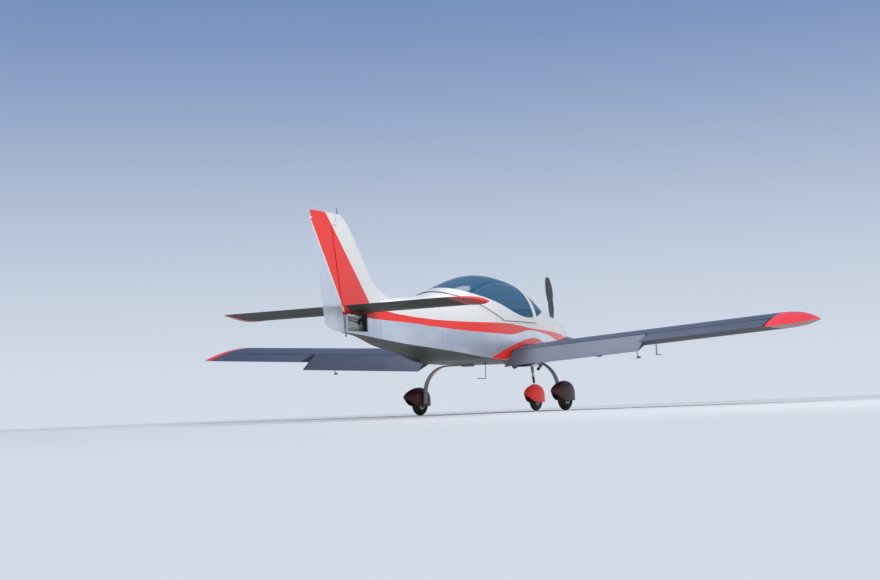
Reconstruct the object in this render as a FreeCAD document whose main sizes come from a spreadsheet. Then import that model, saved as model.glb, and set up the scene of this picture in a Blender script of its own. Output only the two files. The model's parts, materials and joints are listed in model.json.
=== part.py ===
"""Low-wing all-metal microlight aeroplane with a sliding canopy and three faired wheels.

Millimetres. +X points to the nose, +Y to the left wing, +Z up. The origin is on the ground,
midway between the spinner's tip and the rudder's top corner, on the plane of symmetry.
"""
import FreeCAD, Part
import math
import os
import re

os.makedirs("parts", exist_ok=True)
V = FreeCAD.Vector
doc = FreeCAD.newDocument("Microlight")

# Driving dimensions: name, value in millimetres or degrees, meaning
SIZES = [
    ("rail_height", 1135, "height of the sill line that runs the whole fuselage"),
    ("skin", 9, "thickness of the fuselage wall with its frames"),
    ("chine_share", 0.96, "width of the flat belly as a share of the fuselage's width"),
    ("stern_x", -2625, "station of the sternpost"),
    ("stern_belly", 942, "belly height at the sternpost"),
    ("stern_half", 34, "half width at the sternpost"),
    ("stern_crown", 1228, "top height at the sternpost"),
    ("tail_x", -1950, "station in the tail cone"),
    ("tail_belly", 868, "belly height in the tail cone"),
    ("tail_half", 150, "half width in the tail cone"),
    ("tail_crown", 1298, "top height in the tail cone"),
    ("waist_x", -1250, "station of the waist"),
    ("waist_belly", 794, "belly height at the waist"),
    ("waist_half", 298, "half width at the waist"),
    ("waist_crown", 1402, "top height at the waist"),
    ("deck_x", -550, "station behind the canopy glass"),
    ("deck_belly", 721, "belly height behind the glass"),
    ("deck_half", 446, "half width behind the glass"),
    ("deck_crown", 1514, "top height behind the glass"),
    ("head_x", -50, "station behind the seats"),
    ("head_belly", 668, "belly height behind the seats"),
    ("head_half", 546, "half width behind the seats"),
    ("head_crown", 1656, "top height behind the seats"),
    ("crest_x", 400, "station where the glass is highest"),
    ("crest_belly", 650, "belly height under the crest"),
    ("crest_half", 578, "half width under the crest"),
    ("crest_crown", 1746, "height of the crest"),
    ("knee_x", 850, "station over the knees"),
    ("knee_belly", 646, "belly height at the knees"),
    ("knee_half", 580, "half width at the knees"),
    ("knee_crown", 1746, "top height over the knees"),
    ("arch_x", 1200, "station of the canopy's front arch"),
    ("arch_belly", 647, "belly height at the arch"),
    ("arch_half", 566, "half width at the arch"),
    ("arch_crown", 1700, "top height of the arch"),
    ("screen_x", 1600, "station in the middle of the windscreen"),
    ("screen_belly", 650, "belly height under the windscreen"),
    ("screen_half", 526, "half width under the windscreen"),
    ("screen_crown", 1540, "top height of the windscreen there"),
    ("firewall_x", 1950, "station of the firewall"),
    ("firewall_belly", 656, "belly height at the firewall"),
    ("firewall_half", 474, "half width at the firewall"),
    ("firewall_crown", 1386, "top height at the firewall"),
    ("firewall_sheet", 12, "thickness of the firewall with its stiffeners"),
    ("canopy_gap", 5, "running gap between the canopy and the deck under it"),
    ("canopy_wall", 7, "thickness of the canopy's frame and glass"),
    ("screen_wall", 7, "thickness of the windscreen"),
    ("seal_gap", 6, "gap between the canopy and what it closes on"),
    ("arch_width", 115, "width of the canopy's front arch along the aeroplane"),
    ("skirt_foot_x", 215, "station of the skirt's rear corner on the sill"),
    ("skirt_slope", 0.41, "rise of the skirt's rear edge for each unit aft"),
    ("glass_front_height", 1215, "height of the glass's lower edge at the arch"),
    ("glass_rear_x", -455, "station where the glass ends at the top"),
    ("deck_lap", 60, "how far the deck reaches forward under the skirt"),
    ("bay_front_x", -2250, "front end of the open bay under the tailplane"),
    ("bay_rear_x", -2596, "rear end of the open bay"),
    ("bay_top", 1163, "top of the open bay"),
    ("bay_floor", 16, "thickness of the belly left under the bay"),
    ("cowl_gap", 0.6, "shut line between the cowling and the fuselage"),
    ("cowl_wall", 8, "thickness of the cowling"),
    ("cowl_part_height", 1040, "height of the line where the cowling's halves meet"),
    ("cowl_back_belly", 604, "cowling's bottom at the firewall, below the belly"),
    ("cowl_back_half", 476, "cowling's half width at the firewall"),
    ("cowl_mid_x", 2330, "station in the middle of the cowling"),
    ("cowl_mid_belly", 612, "cowling's bottom there"),
    ("cowl_mid_half", 420, "cowling's half width there"),
    ("cowl_mid_crown", 1340, "cowling's top there"),
    ("cowl_fore_x", 2680, "station ahead of the engine"),
    ("cowl_fore_belly", 690, "cowling's bottom ahead of the engine"),
    ("cowl_fore_half", 338, "cowling's half width ahead of the engine"),
    ("cowl_fore_crown", 1280, "cowling's top ahead of the engine"),
    ("cowl_nose_x", 2900, "station where the cowling starts to close"),
    ("cowl_nose_belly", 800, "cowling's bottom where it starts to close"),
    ("cowl_nose_half", 244, "cowling's half width where it starts to close"),
    ("cowl_nose_crown", 1226, "cowling's top where it starts to close"),
    ("cowl_face_x", 2962, "station of the cowling's front face"),
    ("cowl_face_belly", 850, "bottom of the front face"),
    ("cowl_face_half", 190, "half width of the front face"),
    ("cowl_face_crown", 1206, "top of the front face"),
    ("prop_height", 1093, "height of the propeller's axis"),
    ("prop_x", 3058, "station of the blades' roots"),
    ("prop_radius", 815, "length of a blade from the axis"),
    ("prop_count", 3, "number of blades"),
    ("prop_turn", 5, "how far the first blade leans to the left of upright"),
    ("spinner_radius", 124, "radius of the spinner"),
    ("spinner_back_x", 2982, "station of the spinner's back plate"),
    ("spinner_tip_x", 3223, "station of the spinner's tip"),
    ("hub_radius", 62, "radius of the propeller's hub"),
    ("wing_chord", 1350, "chord of the wing"),
    ("wing_nose_x", 1400, "station of the wing's leading edge"),
    ("wing_nose_height", 728, "height of the leading edge on the centreline"),
    ("wing_thickness", 0.142, "thickness of the wing as a share of its chord"),
    ("wing_camber", 0.028, "camber of the wing as a share of its chord"),
    ("wing_dihedral", 3.35, "dihedral angle"),
    ("wing_incidence", 4.1, "incidence angle"),
    ("wing_panel_end", 3860, "span station where the tip begins"),
    ("wing_span", 8400, "span over the tips"),
    ("wing_skin", 8, "thickness of the wing's skin with its stringers"),
    ("flap_skin", 4, "thickness of the skins of flaps and ailerons with their ribs"),
    ("hinge_share", 0.74, "chord share of the flap and aileron hinge"),
    ("surface_gap", 6, "gap round a control surface's nose"),
    ("flap_root", 604, "span station of the flap's inner end"),
    ("flap_end", 2345, "span station of the flap's outer end"),
    ("aileron_root", 2372, "span station of the aileron's inner end"),
    ("aileron_end", 3838, "span station of the aileron's outer end"),
    ("flap_angle", 18, "how far the flaps stand down"),
    ("tail_span", 3080, "span of the tailplane"),
    ("tail_chord", 720, "chord of the tailplane with the elevator"),
    ("tail_edge_x", -2866, "station of the elevator's trailing edge"),
    ("tail_edge_height", 1216, "height of the elevator's trailing edge"),
    ("tail_incidence", -1.6, "incidence of the tailplane"),
    ("tail_thickness", 0.095, "thickness of the tailplane as a share of its chord"),
    ("tail_skin", 2.5, "thickness of the skins of tailplane, fin and rudder with their ribs"),
    ("tail_panel_end", 1385, "span station where the tailplane's tip begins"),
    ("elevator_share", 0.57, "chord share of the elevator's hinge"),
    ("elevator_root", 78, "span station of the elevator's inner end at its hinge"),
    ("elevator_notch", 160, "span station of the elevator's inner end at its trailing edge"),
    ("torque_radius", 15, "radius of the tube that joins the elevator halves"),
    ("fin_top", 2225, "height of the fin and rudder"),
    ("fin_base", 1168, "height where the fin stands on the tail"),
    ("fin_low", 930, "height of the lowest section of fin and rudder"),
    ("fin_nose_low_x", -1500, "leading edge's station at the lowest section"),
    ("fin_nose_top_x", -2560, "leading edge's station at the top"),
    ("fin_edge_low_x", -2978, "rudder's trailing edge at the lowest section"),
    ("fin_edge_top_x", -3223, "rudder's trailing edge at the top"),
    ("fin_thickness", 0.068, "thickness of the fin as a share of its chord"),
    ("fillet_top", 1655, "height where the fin's dorsal fillet leaves its leading edge"),
    ("fillet_front_x", -1400, "station where the dorsal fillet runs out on the deck"),
    ("fillet_half", 16, "half width of the dorsal fillet"),
    ("rudder_foot_x", -2646, "station of the rudder hinge at the belly"),
    ("rudder_foot_height", 953, "height of the rudder's foot"),
    ("rudder_lean", 10.4, "lean of the rudder hinge"),
    ("rudder_nose", 13, "radius of the rudder's nose"),
    ("horn_height", 2100, "height where the rudder's horn balance begins"),
    ("horn_reach", 105, "reach of the horn balance ahead of the hinge"),
    ("wheel_x", 902, "station of the main axle"),
    ("wheel_track", 2096, "track of the main wheels"),
    ("wheel_radius", 176, "radius of a main tyre"),
    ("tyre_width", 100, "width of a main tyre"),
    ("rim_radius", 92, "radius of a main wheel's rim"),
    ("hub_width", 84, "width of a wheel's hub"),
    ("axle_radius", 12, "radius of a main axle"),
    ("axle_clearance", 0.06, "running clearance of a wheel on its axle"),
    ("nose_wheel_x", 2331, "station of the nose axle"),
    ("nose_wheel_radius", 166, "radius of the nose tyre"),
    ("nose_tyre_width", 90, "width of the nose tyre"),
    ("leg_root_y", 606, "span station where the leg starts to bend down"),
    ("leg_bend", 350, "radius of the leg's bend"),
    ("leg_turn", 86, "turn of the leg's bend"),
    ("leg_thickness", 17, "thickness of the leg"),
    ("leg_width", 84, "width of the leg"),
    ("clamp_inner", 240, "span station of the inner end of a leg's clamp"),
    ("clamp_outer", 370, "span station of the outer end of a leg's clamp"),
    ("clamp_drop", 32, "depth of a leg's clamp under the belly"),
    ("clamp_edge", 14, "how far a clamp reaches past the leg's edges"),
    ("fairing_aft", 430, "how far a main fairing reaches behind its axle"),
    ("fairing_fore", 232, "how far a main fairing reaches ahead of its axle"),
    ("fairing_half", 70, "half width of a main fairing"),
    ("fairing_top", 372, "height of a main fairing's top"),
    ("fairing_foot", 122, "height of a main fairing's open bottom"),
    ("fairing_wall", 5, "thickness of the wheel fairings"),
    ("nose_fairing_aft", 376, "how far the nose fairing reaches behind its axle"),
    ("nose_fairing_fore", 226, "how far the nose fairing reaches ahead of its axle"),
    ("nose_fairing_half", 68, "half width of the nose fairing"),
    ("nose_fairing_top", 366, "height of the nose fairing's top"),
    ("nose_fairing_foot", 112, "height of the nose fairing's open bottom"),
    ("fork_gap", 5, "clearance of the fork's blades from the nose tyre"),
    ("fork_blade", 7, "thickness of a fork blade"),
    ("seat_gap", 0.3, "clearance of a piece on its seat"),
    ("pin_radius", 5, "radius of the hinge pins of flaps and ailerons"),
    ("pin_clearance", 0.3, "clearance of a hinge pin in its hole"),
    ("arm_width", 13, "thickness of the hinge arm between flap and aileron"),
    ("ring_bore", 8, "bore radius of the tie-down eyes"),
    ("strut_top_x", 2196, "station of the nose strut's top"),
    ("strut_top_height", 900, "height of the nose strut's top"),
    ("strut_low_x", 2300, "station of the strut's lower end"),
    ("strut_low_height", 372, "height of the strut's lower end"),
    ("strut_radius", 21, "radius of the nose strut"),
    ("strut_step", 5, "how much thinner the strut's inner tube is than its outer tube"),
    ("nose_axle_radius", 10, "radius of the nose axle"),
    ("intake_half", 105, "half width of the cooling intake"),
    ("exhaust_x", 2310, "station of the exhaust pipe's bend"),
    ("exhaust_y", -150, "span station of the exhaust pipe"),
    ("exhaust_height", 658, "height of the exhaust pipe's bend"),
    ("exhaust_radius", 22, "radius of the exhaust pipe"),
    ("exhaust_wall", 3, "wall of the exhaust pipe"),
    ("engine_back_x", 2272, "station of the engine block's rear face"),
    ("engine_front_x", 2748, "station of the engine block's front face"),
    ("engine_half", 232, "half width of the engine block"),
    ("engine_low", 846, "height of the engine block's underside"),
    ("engine_high", 1192, "height of the engine block's top"),
    ("gearbox_radius", 70, "radius of the reduction gear's case"),
    ("shaft_radius", 30, "radius of the propeller shaft"),
    ("spinner_wall", 3, "wall of the spinner"),
    ("horn_drop", 58, "depth of the elevator's horn under its tube"),
    ("lug_radius", 11, "radius of a rudder hinge lug"),
    ("lug_tall", 14, "height of a rudder hinge lug"),
    ("bench_half", 500, "half width of the seat bench before it is trimmed"),
    ("cushion_width", 400, "width of one seat's cushions"),
    ("cushion_inner", 40, "span station of a cushion's inner side"),
    ("panel_x", 1232, "station of the instrument panel's face"),
    ("panel_sheet", 10, "thickness of the instrument panel"),
    ("panel_low", 955, "height of the instrument panel's lower edge"),
    ("shelf_height", 1216, "height of the shelf on top of the panel"),
    ("bulkhead_x", -486, "station of the bulkhead behind the cabin"),
    ("board_sheet", 6, "thickness of the shelf and of the bulkheads"),
    ("stick_x", 800, "station of a control stick's foot"),
    ("stick_y", 280, "span station of a control stick"),
    ("stick_radius", 10, "radius of a control stick"),
    ("grip_radius", 17, "radius of a control stick's grip"),
    ("cable_radius", 2.5, "radius of a rudder cable"),
    ("push_rod_radius", 8, "radius of the elevator's push rod"),
    ("push_rod_height", 1148, "height of the elevator's push rod"),
    ("ring_y", 2162, "span station of the tie-down rods"),
    ("rod_radius", 6, "radius of a tie-down rod"),
    ("cross_length", 46, "length of the cross tube on a tie-down rod"),
    ("whip_x", 790, "station of the belly antenna"),
    ("whip_drop", 200, "depth of the belly antenna under the belly"),
    ("whip_run", 250, "how far the belly antenna reaches aft"),
    ("whip_radius", 4, "radius of the belly antenna"),
    ("pitot_x", 870, "station of the pitot's mast"),
    ("pitot_y", -2300, "span station of the pitot"),
    ("pitot_drop", 190, "depth of the pitot tube under the wing's chord line"),
    ("lamp_radius", 17, "radius of a wing lamp"),
    ("lamp_y", 4105, "span station of a wing lamp"),
    ("lamp_depth", 30, "depth of a wing lamp's pocket in the tip's nose"),
]

sheet = doc.addObject("Spreadsheet::Sheet", "Sizes")
for row, (alias, value, meaning) in enumerate(SIZES, start=1):
    sheet.set("A%d" % row, meaning)
    sheet.set("B%d" % row, str(value))
    sheet.setAlias("B%d" % row, alias)
doc.recompute()
ALIASES = {alias for alias, value, meaning in SIZES}


def size(alias):
    """A driving dimension, read from the sheet."""
    return float(getattr(sheet, alias))


def formula(text):
    """An expression on the sheet's cells, from one that names them alone."""
    return re.sub(r"[a-z_]+", lambda word: "Sizes." * (word.group() in ALIASES) + word.group(), str(text))


def bind(item, **paths):
    """Ties properties to expressions; two underscores stand for a dot."""
    for path, text in paths.items():
        item.setExpression(path.replace("__", "."), formula(text))
    return item


def place(item, x="0", y="0", z="0"):
    return bind(item, Placement__Base__x=x, Placement__Base__y=y, Placement__Base__z=z)


def sketch_on(body, name, role, curves, offset="0"):
    """A sketch on one of the body's origin planes, moved along the plane's normal."""
    sketch = body.newObject("Sketcher::SketchObject", name)
    plane = next(f for f in body.Origin.OriginFeatures if f.Role == role)
    sketch.AttachmentSupport = [(plane, "")]
    sketch.MapMode = "FlatFace"
    bind(sketch, AttachmentOffset__Base__z=offset)
    for curve in curves:
        sketch.addGeometry(curve, False)
    return sketch


def new_body(name):
    return doc.addObject("PartDesign::Body", name)


TURNS = {
    "XY": FreeCAD.Rotation(),
    "XZ": FreeCAD.Rotation(V(1, 0, 0), V(0, 0, 1), V(0, -1, 0), "XYZ"),
    "YZ": FreeCAD.Rotation(V(0, 1, 0), V(0, 0, 1), V(1, 0, 0), "XYZ"),
}


def free_sketch(name, plane, curves, offset):
    """A sketch parallel to an origin plane, at an offset along X, Y or Z."""
    sketch = doc.addObject("Sketcher::SketchObject", name)
    sketch.Placement = FreeCAD.Placement(V(0, 0, 0), TURNS[plane])
    for curve in curves:
        sketch.addGeometry(curve, False)
    direction = {"XY": "z", "XZ": "y", "YZ": "x"}[plane]
    return bind(sketch, **{"Placement__Base__" + direction: offset})


def lofted(name, plane, sections, ruled=False):
    """A solid lofted through sections, each an offset expression and its curves."""
    loft = doc.addObject("Part::Loft", name)
    loft.Sections = [free_sketch("%s_section_%d" % (name, n), plane, curves, offset)
                     for n, (offset, curves) in enumerate(sections)]
    loft.Solid = True
    loft.Ruled = ruled
    loft.MaxDegree = 3
    return loft


def padded(name, role, curves, length, offset="0"):
    """A body padded from one sketch along its plane's normal."""
    body = new_body(name)
    sketch = sketch_on(body, name + "_profile", role, curves, offset)
    pad = body.newObject("PartDesign::Pad", name + "_pad")
    pad.Profile = sketch
    bind(pad, Length=length)
    return body


def revolved(name, role, curves, axis):
    """A body revolved from one sketch about its H_Axis or V_Axis."""
    body = new_body(name)
    sketch = sketch_on(body, name + "_profile", role, curves)
    turn = body.newObject("PartDesign::Revolution", name + "_turn")
    turn.Profile = sketch
    turn.ReferenceAxis = (sketch, [axis])
    turn.Angle = 360
    return body


def cut(name, base, *tools):
    item = doc.addObject("Part::Cut", name)
    item.Base = base
    item.Tool = tools[0] if len(tools) == 1 else fuse(name + "_tools", *tools)
    return item


def fuse(name, *parts):
    item = doc.addObject("Part::MultiFuse", name)
    item.Shapes = list(parts)
    return item


def common(name, base, tool):
    item = doc.addObject("Part::Common", name)
    item.Base = base
    item.Tool = tool
    return item


def mirrored(name, source):
    """The same piece on the other side of the plane of symmetry."""
    item = doc.addObject("Part::Mirroring", name)
    item.Source = source
    item.Normal = V(0, 1, 0)
    return item


def both_sides(name, source):
    """One sub-part of two like solids, left and right."""
    item = doc.addObject("Part::Compound", name)
    item.Links = [source, mirrored(name + "_right", source)]
    return item


def box(name, low, high):
    """A box between two corners, each given by three expressions."""
    item = doc.addObject("Part::Box", name)
    spans = ["(%s) - (%s)" % (b, a) for a, b in zip(low, high)]
    bind(item, Length=spans[0], Width=spans[1], Height=spans[2])
    return place(item, *low)


def cylinder(name, radius, length, start, rotation):
    """A cylinder from a start point along the direction that the rotation gives +Z."""
    item = doc.addObject("Part::Cylinder", name)
    bind(item, Radius=radius, Height=length)
    item.Placement = FreeCAD.Placement(V(0, 0, 0), rotation)
    return place(item, *start)


ALONG_X = FreeCAD.Rotation(V(0, 1, 0), 90)
ALONG_Y = FreeCAD.Rotation(V(1, 0, 0), -90)
ALONG_Z = FreeCAD.Rotation()


def closed(points):
    """Straight sides through a closed list of points in the sketch's plane."""
    corners = [V(x, y, 0) for x, y in points]
    return [Part.LineSegment(a, b) for a, b in zip(corners, corners[1:] + corners[:1])]


def half_oval(half, middle, end, fullness=1 / 3):
    """Half an oval over the line y = middle, from +half to -half, reaching the height end.

    A fullness of a third is a true half ellipse; more is squarer."""
    reach = middle + (end - middle) * (1 + 3 * fullness) / (3 * fullness)
    curve = Part.BezierCurve()
    curve.setPoles([V(half, middle, 0), V(half, reach, 0), V(-half, reach, 0), V(-half, middle, 0)])
    for number in (2, 3):
        curve.setWeight(number, fullness)
    return curve.toBSpline()


# The fuselage's form
FAR = 5000
EXTRA = 30
STATIONS = ["stern", "tail", "waist", "deck", "head", "crest", "knee", "arch", "screen", "firewall"]


def trough_section(station, grow):
    """Flat belly and straight sides up to the sill; inside a wall it runs on above the sill."""
    half = size(station + "_half") + grow
    low = size("chine_share") * size(station + "_half") + grow
    belly = size(station + "_belly") - grow
    sill = size("rail_height") + (EXTRA if grow < 0 else 0)
    return closed([(-low, belly), (low, belly), (half, sill), (-half, sill)])


def dome_section(station, grow, drop=0):
    """Oval top over the sill; drop carries its sides down past the sill."""
    half = size(station + "_half") + grow
    sill = size("rail_height")
    oval = half_oval(half, sill, size(station + "_crown") + grow)
    if not drop:
        return [oval, Part.LineSegment(V(-half, sill, 0), V(half, sill, 0))]
    left = Part.LineSegment(V(-half, sill, 0), V(-half, sill - drop, 0))
    foot = Part.LineSegment(V(-half, sill - drop, 0), V(half, sill - drop, 0))
    return [oval, left, foot, Part.LineSegment(V(half, sill - drop, 0), V(half, sill, 0))]


def along_hull(name, section, first="stern_x", last="firewall_x"):
    """A form lofted through every station, from the first section's place to the last's."""
    places = [first] + [s + "_x" for s in STATIONS[1:-1]] + [last]
    return lofted(name, "YZ", [(where, section(s)) for where, s in zip(places, STATIONS)])


INNER_ENDS = ("stern_x + 32", "firewall_x + 1")
skin = size("skin")
trough_form = along_hull("trough_form", lambda s: trough_section(s, 0))
trough_inside = along_hull("trough_inside", lambda s: trough_section(s, -skin), *INNER_ENDS)
dome_form = along_hull("dome_form", lambda s: dome_section(s, 0))
dome_inside = along_hull("dome_inside", lambda s: dome_section(s, -skin, EXTRA), *INNER_ENDS)
canopy_near = size("canopy_gap")
canopy_far = canopy_near + size("canopy_wall")
canopy_form = along_hull("canopy_form", lambda s: dome_section(s, canopy_far))
canopy_inside = along_hull("canopy_inside", lambda s: dome_section(s, canopy_near, EXTRA))
screen_form = along_hull("screen_form", lambda s: dome_section(s, 1))
screen_inside = along_hull("screen_inside", lambda s: dome_section(s, 1 - size("screen_wall"), EXTRA))


def side_prism(name, curves):
    """A side-view outline, as X and Z, stretched across the whole width."""
    return padded(name, "XZ_Plane", curves, "2 * %d" % FAR, "-%d" % FAR)


trough = cut("fuselage_trough", trough_form, trough_inside)
deck_shell = cut("deck_shell", dome_form, dome_inside)
canopy_shell = cut("canopy_shell", canopy_form, canopy_inside)
screen_shell = cut("screen_shell", screen_form, screen_inside)
tail_bay = box("tail_bay", ("bay_rear_x", -FAR, "stern_belly + bay_floor"), ("bay_front_x", FAR, "bay_top"))

# Lower fuselage: flat belly and sides up to the sill, open to the bay under the tailplane
fuselage_open = cut("fuselage_open", trough, tail_bay)

# Rear deck, from under the canopy's skirt to the tail
rail = size("rail_height")
slope = size("skirt_slope")
foot = size("skirt_foot_x")
lap = size("deck_lap")
stern_end = size("stern_x") - EXTRA
deck_top = 1650


def skirt_edge(height, ahead=0):
    """Station of the skirt's sloping rear edge at a height."""
    return foot + ahead - (height - rail) / slope


deck_side = side_prism("deck_side", closed([
    (stern_end, rail - EXTRA), (foot + lap, rail - EXTRA), (foot + lap, rail),
    (skirt_edge(deck_top, lap), deck_top), (stern_end, deck_top)]))
hinge_back = 1 - size("elevator_share")
torque_x = size("tail_edge_x") + hinge_back * size("tail_chord")
tail_tilt = math.radians(size("tail_incidence"))
torque_z = size("tail_edge_height") + hinge_back * size("tail_chord") * math.sin(tail_tilt)
torque_hole = cylinder("torque_hole", "torque_radius + pin_clearance", 2 * FAR, (torque_x, -FAR, torque_z),
                       ALONG_Y)
turtle_deck = cut("turtle_deck", common("deck_blank", deck_shell, deck_side), tail_bay, torque_hole)

# Canopy: a frame with an arch in front and a skirt that sweeps up behind, and the glass in it
arch_x = size("arch_x")
arch_back = arch_x - size("arch_width")
glass_low = size("glass_front_height")
glass_end = size("glass_rear_x")
sill = rail + size("seal_gap")
canopy_side = side_prism("canopy_side", closed([
    (arch_x, sill), (foot - (sill - rail) / slope, sill), (skirt_edge(deck_top), deck_top),
    (skirt_edge(deck_top), FAR), (arch_x, FAR)]))
S_CURVE = [(680, 1219), (400, 1282), (150, 1358), (-160, 1442), (glass_end + 60, 1516)]


def glass_outline(margin):
    """Side view of the glass: an S-curve below, straight up at the arch and behind."""
    points = [(arch_back - margin, glass_low)] + S_CURVE
    low = Part.BSplineCurve()
    low.interpolate([V(x, z + margin, 0) for x, z in points])
    front = V(arch_back - margin, glass_low + margin, 0)
    rear = V(points[-1][0], points[-1][1] + margin, 0)
    corner = V(glass_end, rear.y + 34, 0)
    over_rear = V(glass_end, FAR, 0)
    over_front = V(arch_back - margin, FAR, 0)
    path = [rear, corner, over_rear, over_front, front]
    return [low] + [Part.LineSegment(a, b) for a, b in zip(path, path[1:])]


glass_side = side_prism("glass_side", glass_outline(0))
canopy_blank = common("canopy_blank", canopy_shell, canopy_side)
canopy_glass = common("canopy_glass", canopy_blank, glass_side)
canopy_side_frame = cut("canopy_side_frame", canopy_blank, glass_side)
runner = box("runner", ("arch_x - 100", "arch_half - skin", "rail_height + seat_gap"),
             ("arch_x - 10", "arch_half + canopy_gap + 5", "rail_height + 30"))
canopy_frame = fuse("canopy_frame", canopy_side_frame, runner, mirrored("runner_right", runner))

# Windscreen between the arch and the scuttle, and the scuttle in front of it
screen_low = glass_low + 3
screen_foot_x = size("firewall_x") - 45
screen_foot = size("firewall_crown") + 12
screen_rear = arch_x + size("seal_gap")
screen_side = side_prism("screen_side", closed([
    (screen_rear, screen_low), (screen_foot_x, screen_foot), (screen_foot_x, FAR), (screen_rear, FAR)]))
windscreen = common("windscreen", screen_shell, screen_side)
scuttle_side = side_prism("scuttle_side", closed([
    (screen_rear, rail - EXTRA), (size("firewall_x") + EXTRA, rail - EXTRA),
    (size("firewall_x") + EXTRA, FAR),
    (screen_foot_x, FAR), (screen_foot_x, screen_foot), (screen_rear, screen_low)]))
scuttle = common("scuttle", deck_shell, scuttle_side)

# Firewall, closing the fuselage's front end
cabin_space = fuse("cabin_space", trough_inside, dome_inside)


def board(name, blank):
    """A plate across the fuselage's inside, trimmed to its walls."""
    return cut(name, common(name + "_inside", blank, cabin_space), trough, deck_shell)


firewall = board("firewall",
                 box("firewall_board", ("firewall_x - firewall_sheet", -FAR, 0), ("firewall_x", FAR, FAR)))

# Cowling: one form, split at the line of the spinner into an upper and a lower half
COWL = ["cowl_back", "cowl_mid", "cowl_fore", "cowl_nose", "cowl_face"]
COWL_WAIST = [rail, 1112, 1080, 1050, 1035]


def cowl_section(number, grow):
    """A squarish belly under an oval top, growing rounder towards the nose."""
    name = COWL[number]
    half = size(name + "_half") + grow
    crown = size("firewall_crown") if number == 0 else size(name + "_crown")
    middle = COWL_WAIST[number]
    fullness = [2.2, 1.5, 0.9, 0.5, 1 / 3][number]
    belly = half_oval(-half, middle, size(name + "_belly") - grow, fullness)
    return [half_oval(half, middle, crown + grow), belly]


def cowling(name, grow, first, last):
    places = [first, "cowl_mid_x", "cowl_fore_x", "cowl_nose_x", last]
    return lofted(name, "YZ", [(where, cowl_section(n, grow)) for n, where in enumerate(places)])


cowl_form = cowling("cowl_form", 0, "firewall_x + cowl_gap", "cowl_face_x")
cowl_inside = cowling("cowl_inside", -size("cowl_wall"), "firewall_x + cowl_gap - 1", "cowl_face_x - 12")
part_line = size("cowl_part_height")
nose_above = box("cowl_upper_part", (0, -FAR, part_line + 0.3), (FAR, FAR, FAR))
nose_below = box("cowl_lower_part", (0, -FAR, 0), (FAR, FAR, part_line - 0.3))
shaft_hole = cylinder("shaft_hole", 78, 200, ("cowl_face_x - 100", 0, "prop_height"), ALONG_X)
cowl_shell = cut("cowl_shell", cowl_form, cowl_inside)
upper_cowl = common("upper_cowl", cut("upper_cowl_blank", cowl_shell, shaft_hole), nose_above)
intake_half = size("intake_half")
intake = padded("intake", "YZ_Plane",
                [half_oval(intake_half, 905, 946, 0.8), half_oval(-intake_half, 905, 872, 0.8)],
                200, "cowl_face_x - 100")
strut_way = cylinder("strut_way", "strut_radius + 26", 400, ("strut_low_x - 62", 0, 480), ALONG_Z)
pipe_turn = FreeCAD.Rotation(V(0, 1, 0), -116)
bend_spot = ("exhaust_x", "exhaust_y", "exhaust_height")
exhaust_down = cylinder("exhaust_down", "exhaust_radius", "engine_low - seat_gap - exhaust_height",
                        bend_spot, ALONG_Z)
exhaust_aft = cylinder("exhaust_aft", "exhaust_radius", 210, bend_spot, pipe_turn)
exhaust_elbow = doc.addObject("Part::Sphere", "exhaust_elbow")
bind(exhaust_elbow, Radius="exhaust_radius")
place(exhaust_elbow, *bend_spot)
exhaust_bore = cylinder("exhaust_bore", "exhaust_radius - exhaust_wall", 240, bend_spot, pipe_turn)
exhaust = cut("exhaust", fuse("exhaust_blank", exhaust_down, exhaust_aft, exhaust_elbow), exhaust_bore)
exhaust_hole = cylinder("exhaust_hole", "exhaust_radius + 8", 340,
                        ("exhaust_x + 36", "exhaust_y", "exhaust_height + 17.5"), pipe_turn)
cowl_openings = [shaft_hole, intake, strut_way, exhaust_hole]
lower_cowl = common("lower_cowl", cut("lower_cowl_blank", cowl_shell, *cowl_openings), nose_below)

# Engine: one plain block behind the propeller, with its shaft and the frame that holds it
crankcase = box("crankcase", ("engine_back_x", "-engine_half", "engine_low"),
                ("engine_front_x", "engine_half", "engine_high"))
gearbox = cylinder("gearbox", "gearbox_radius", 200, ("engine_front_x - 13", 0, "prop_height"), ALONG_X)
prop_shaft = cylinder("prop_shaft", "shaft_radius", "spinner_back_x - seat_gap - engine_front_x - 152",
                      ("engine_front_x + 152", 0, "prop_height"), ALONG_X)
engine_bearer = box("engine_bearer", ("firewall_x", 150, 880), ("engine_back_x + 8", 180, 910))
engine_block = fuse("engine_block", crankcase, gearbox, prop_shaft, engine_bearer,
                    mirrored("engine_bearer_right", engine_bearer))

# Propeller: spinner, hub and blades, built about the X axis and then moved to the shaft's height
spinner_length = size("spinner_tip_x") - size("spinner_back_x")
spinner_wall = size("spinner_wall")


def spinner_curve(inset):
    """Ogive from the tip to the back plate; X runs along the shaft and Y is the radius."""
    radius = size("spinner_radius") - inset
    tip = size("spinner_tip_x") - inset
    back = size("spinner_back_x") + (8 if inset else 0)
    curve = Part.BSplineCurve()
    curve.interpolate([V(tip, 0, 0), V(tip - 0.09 * spinner_length, 0.34 * radius, 0),
                       V(tip - 0.45 * spinner_length, 0.78 * radius, 0), V(back, radius, 0)],
                      InitialTangent=V(0, 1, 0), FinalTangent=V(-1, 0.02, 0))
    return [curve, Part.LineSegment(V(back, radius, 0), V(back, 0, 0)),
            Part.LineSegment(V(back, 0, 0), V(tip, 0, 0))]


spinner_cone = revolved("spinner_cone", "XY_Plane", spinner_curve(0), "H_Axis")
spinner_hollow = revolved("spinner_hollow", "XY_Plane", spinner_curve(spinner_wall), "H_Axis")


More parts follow.
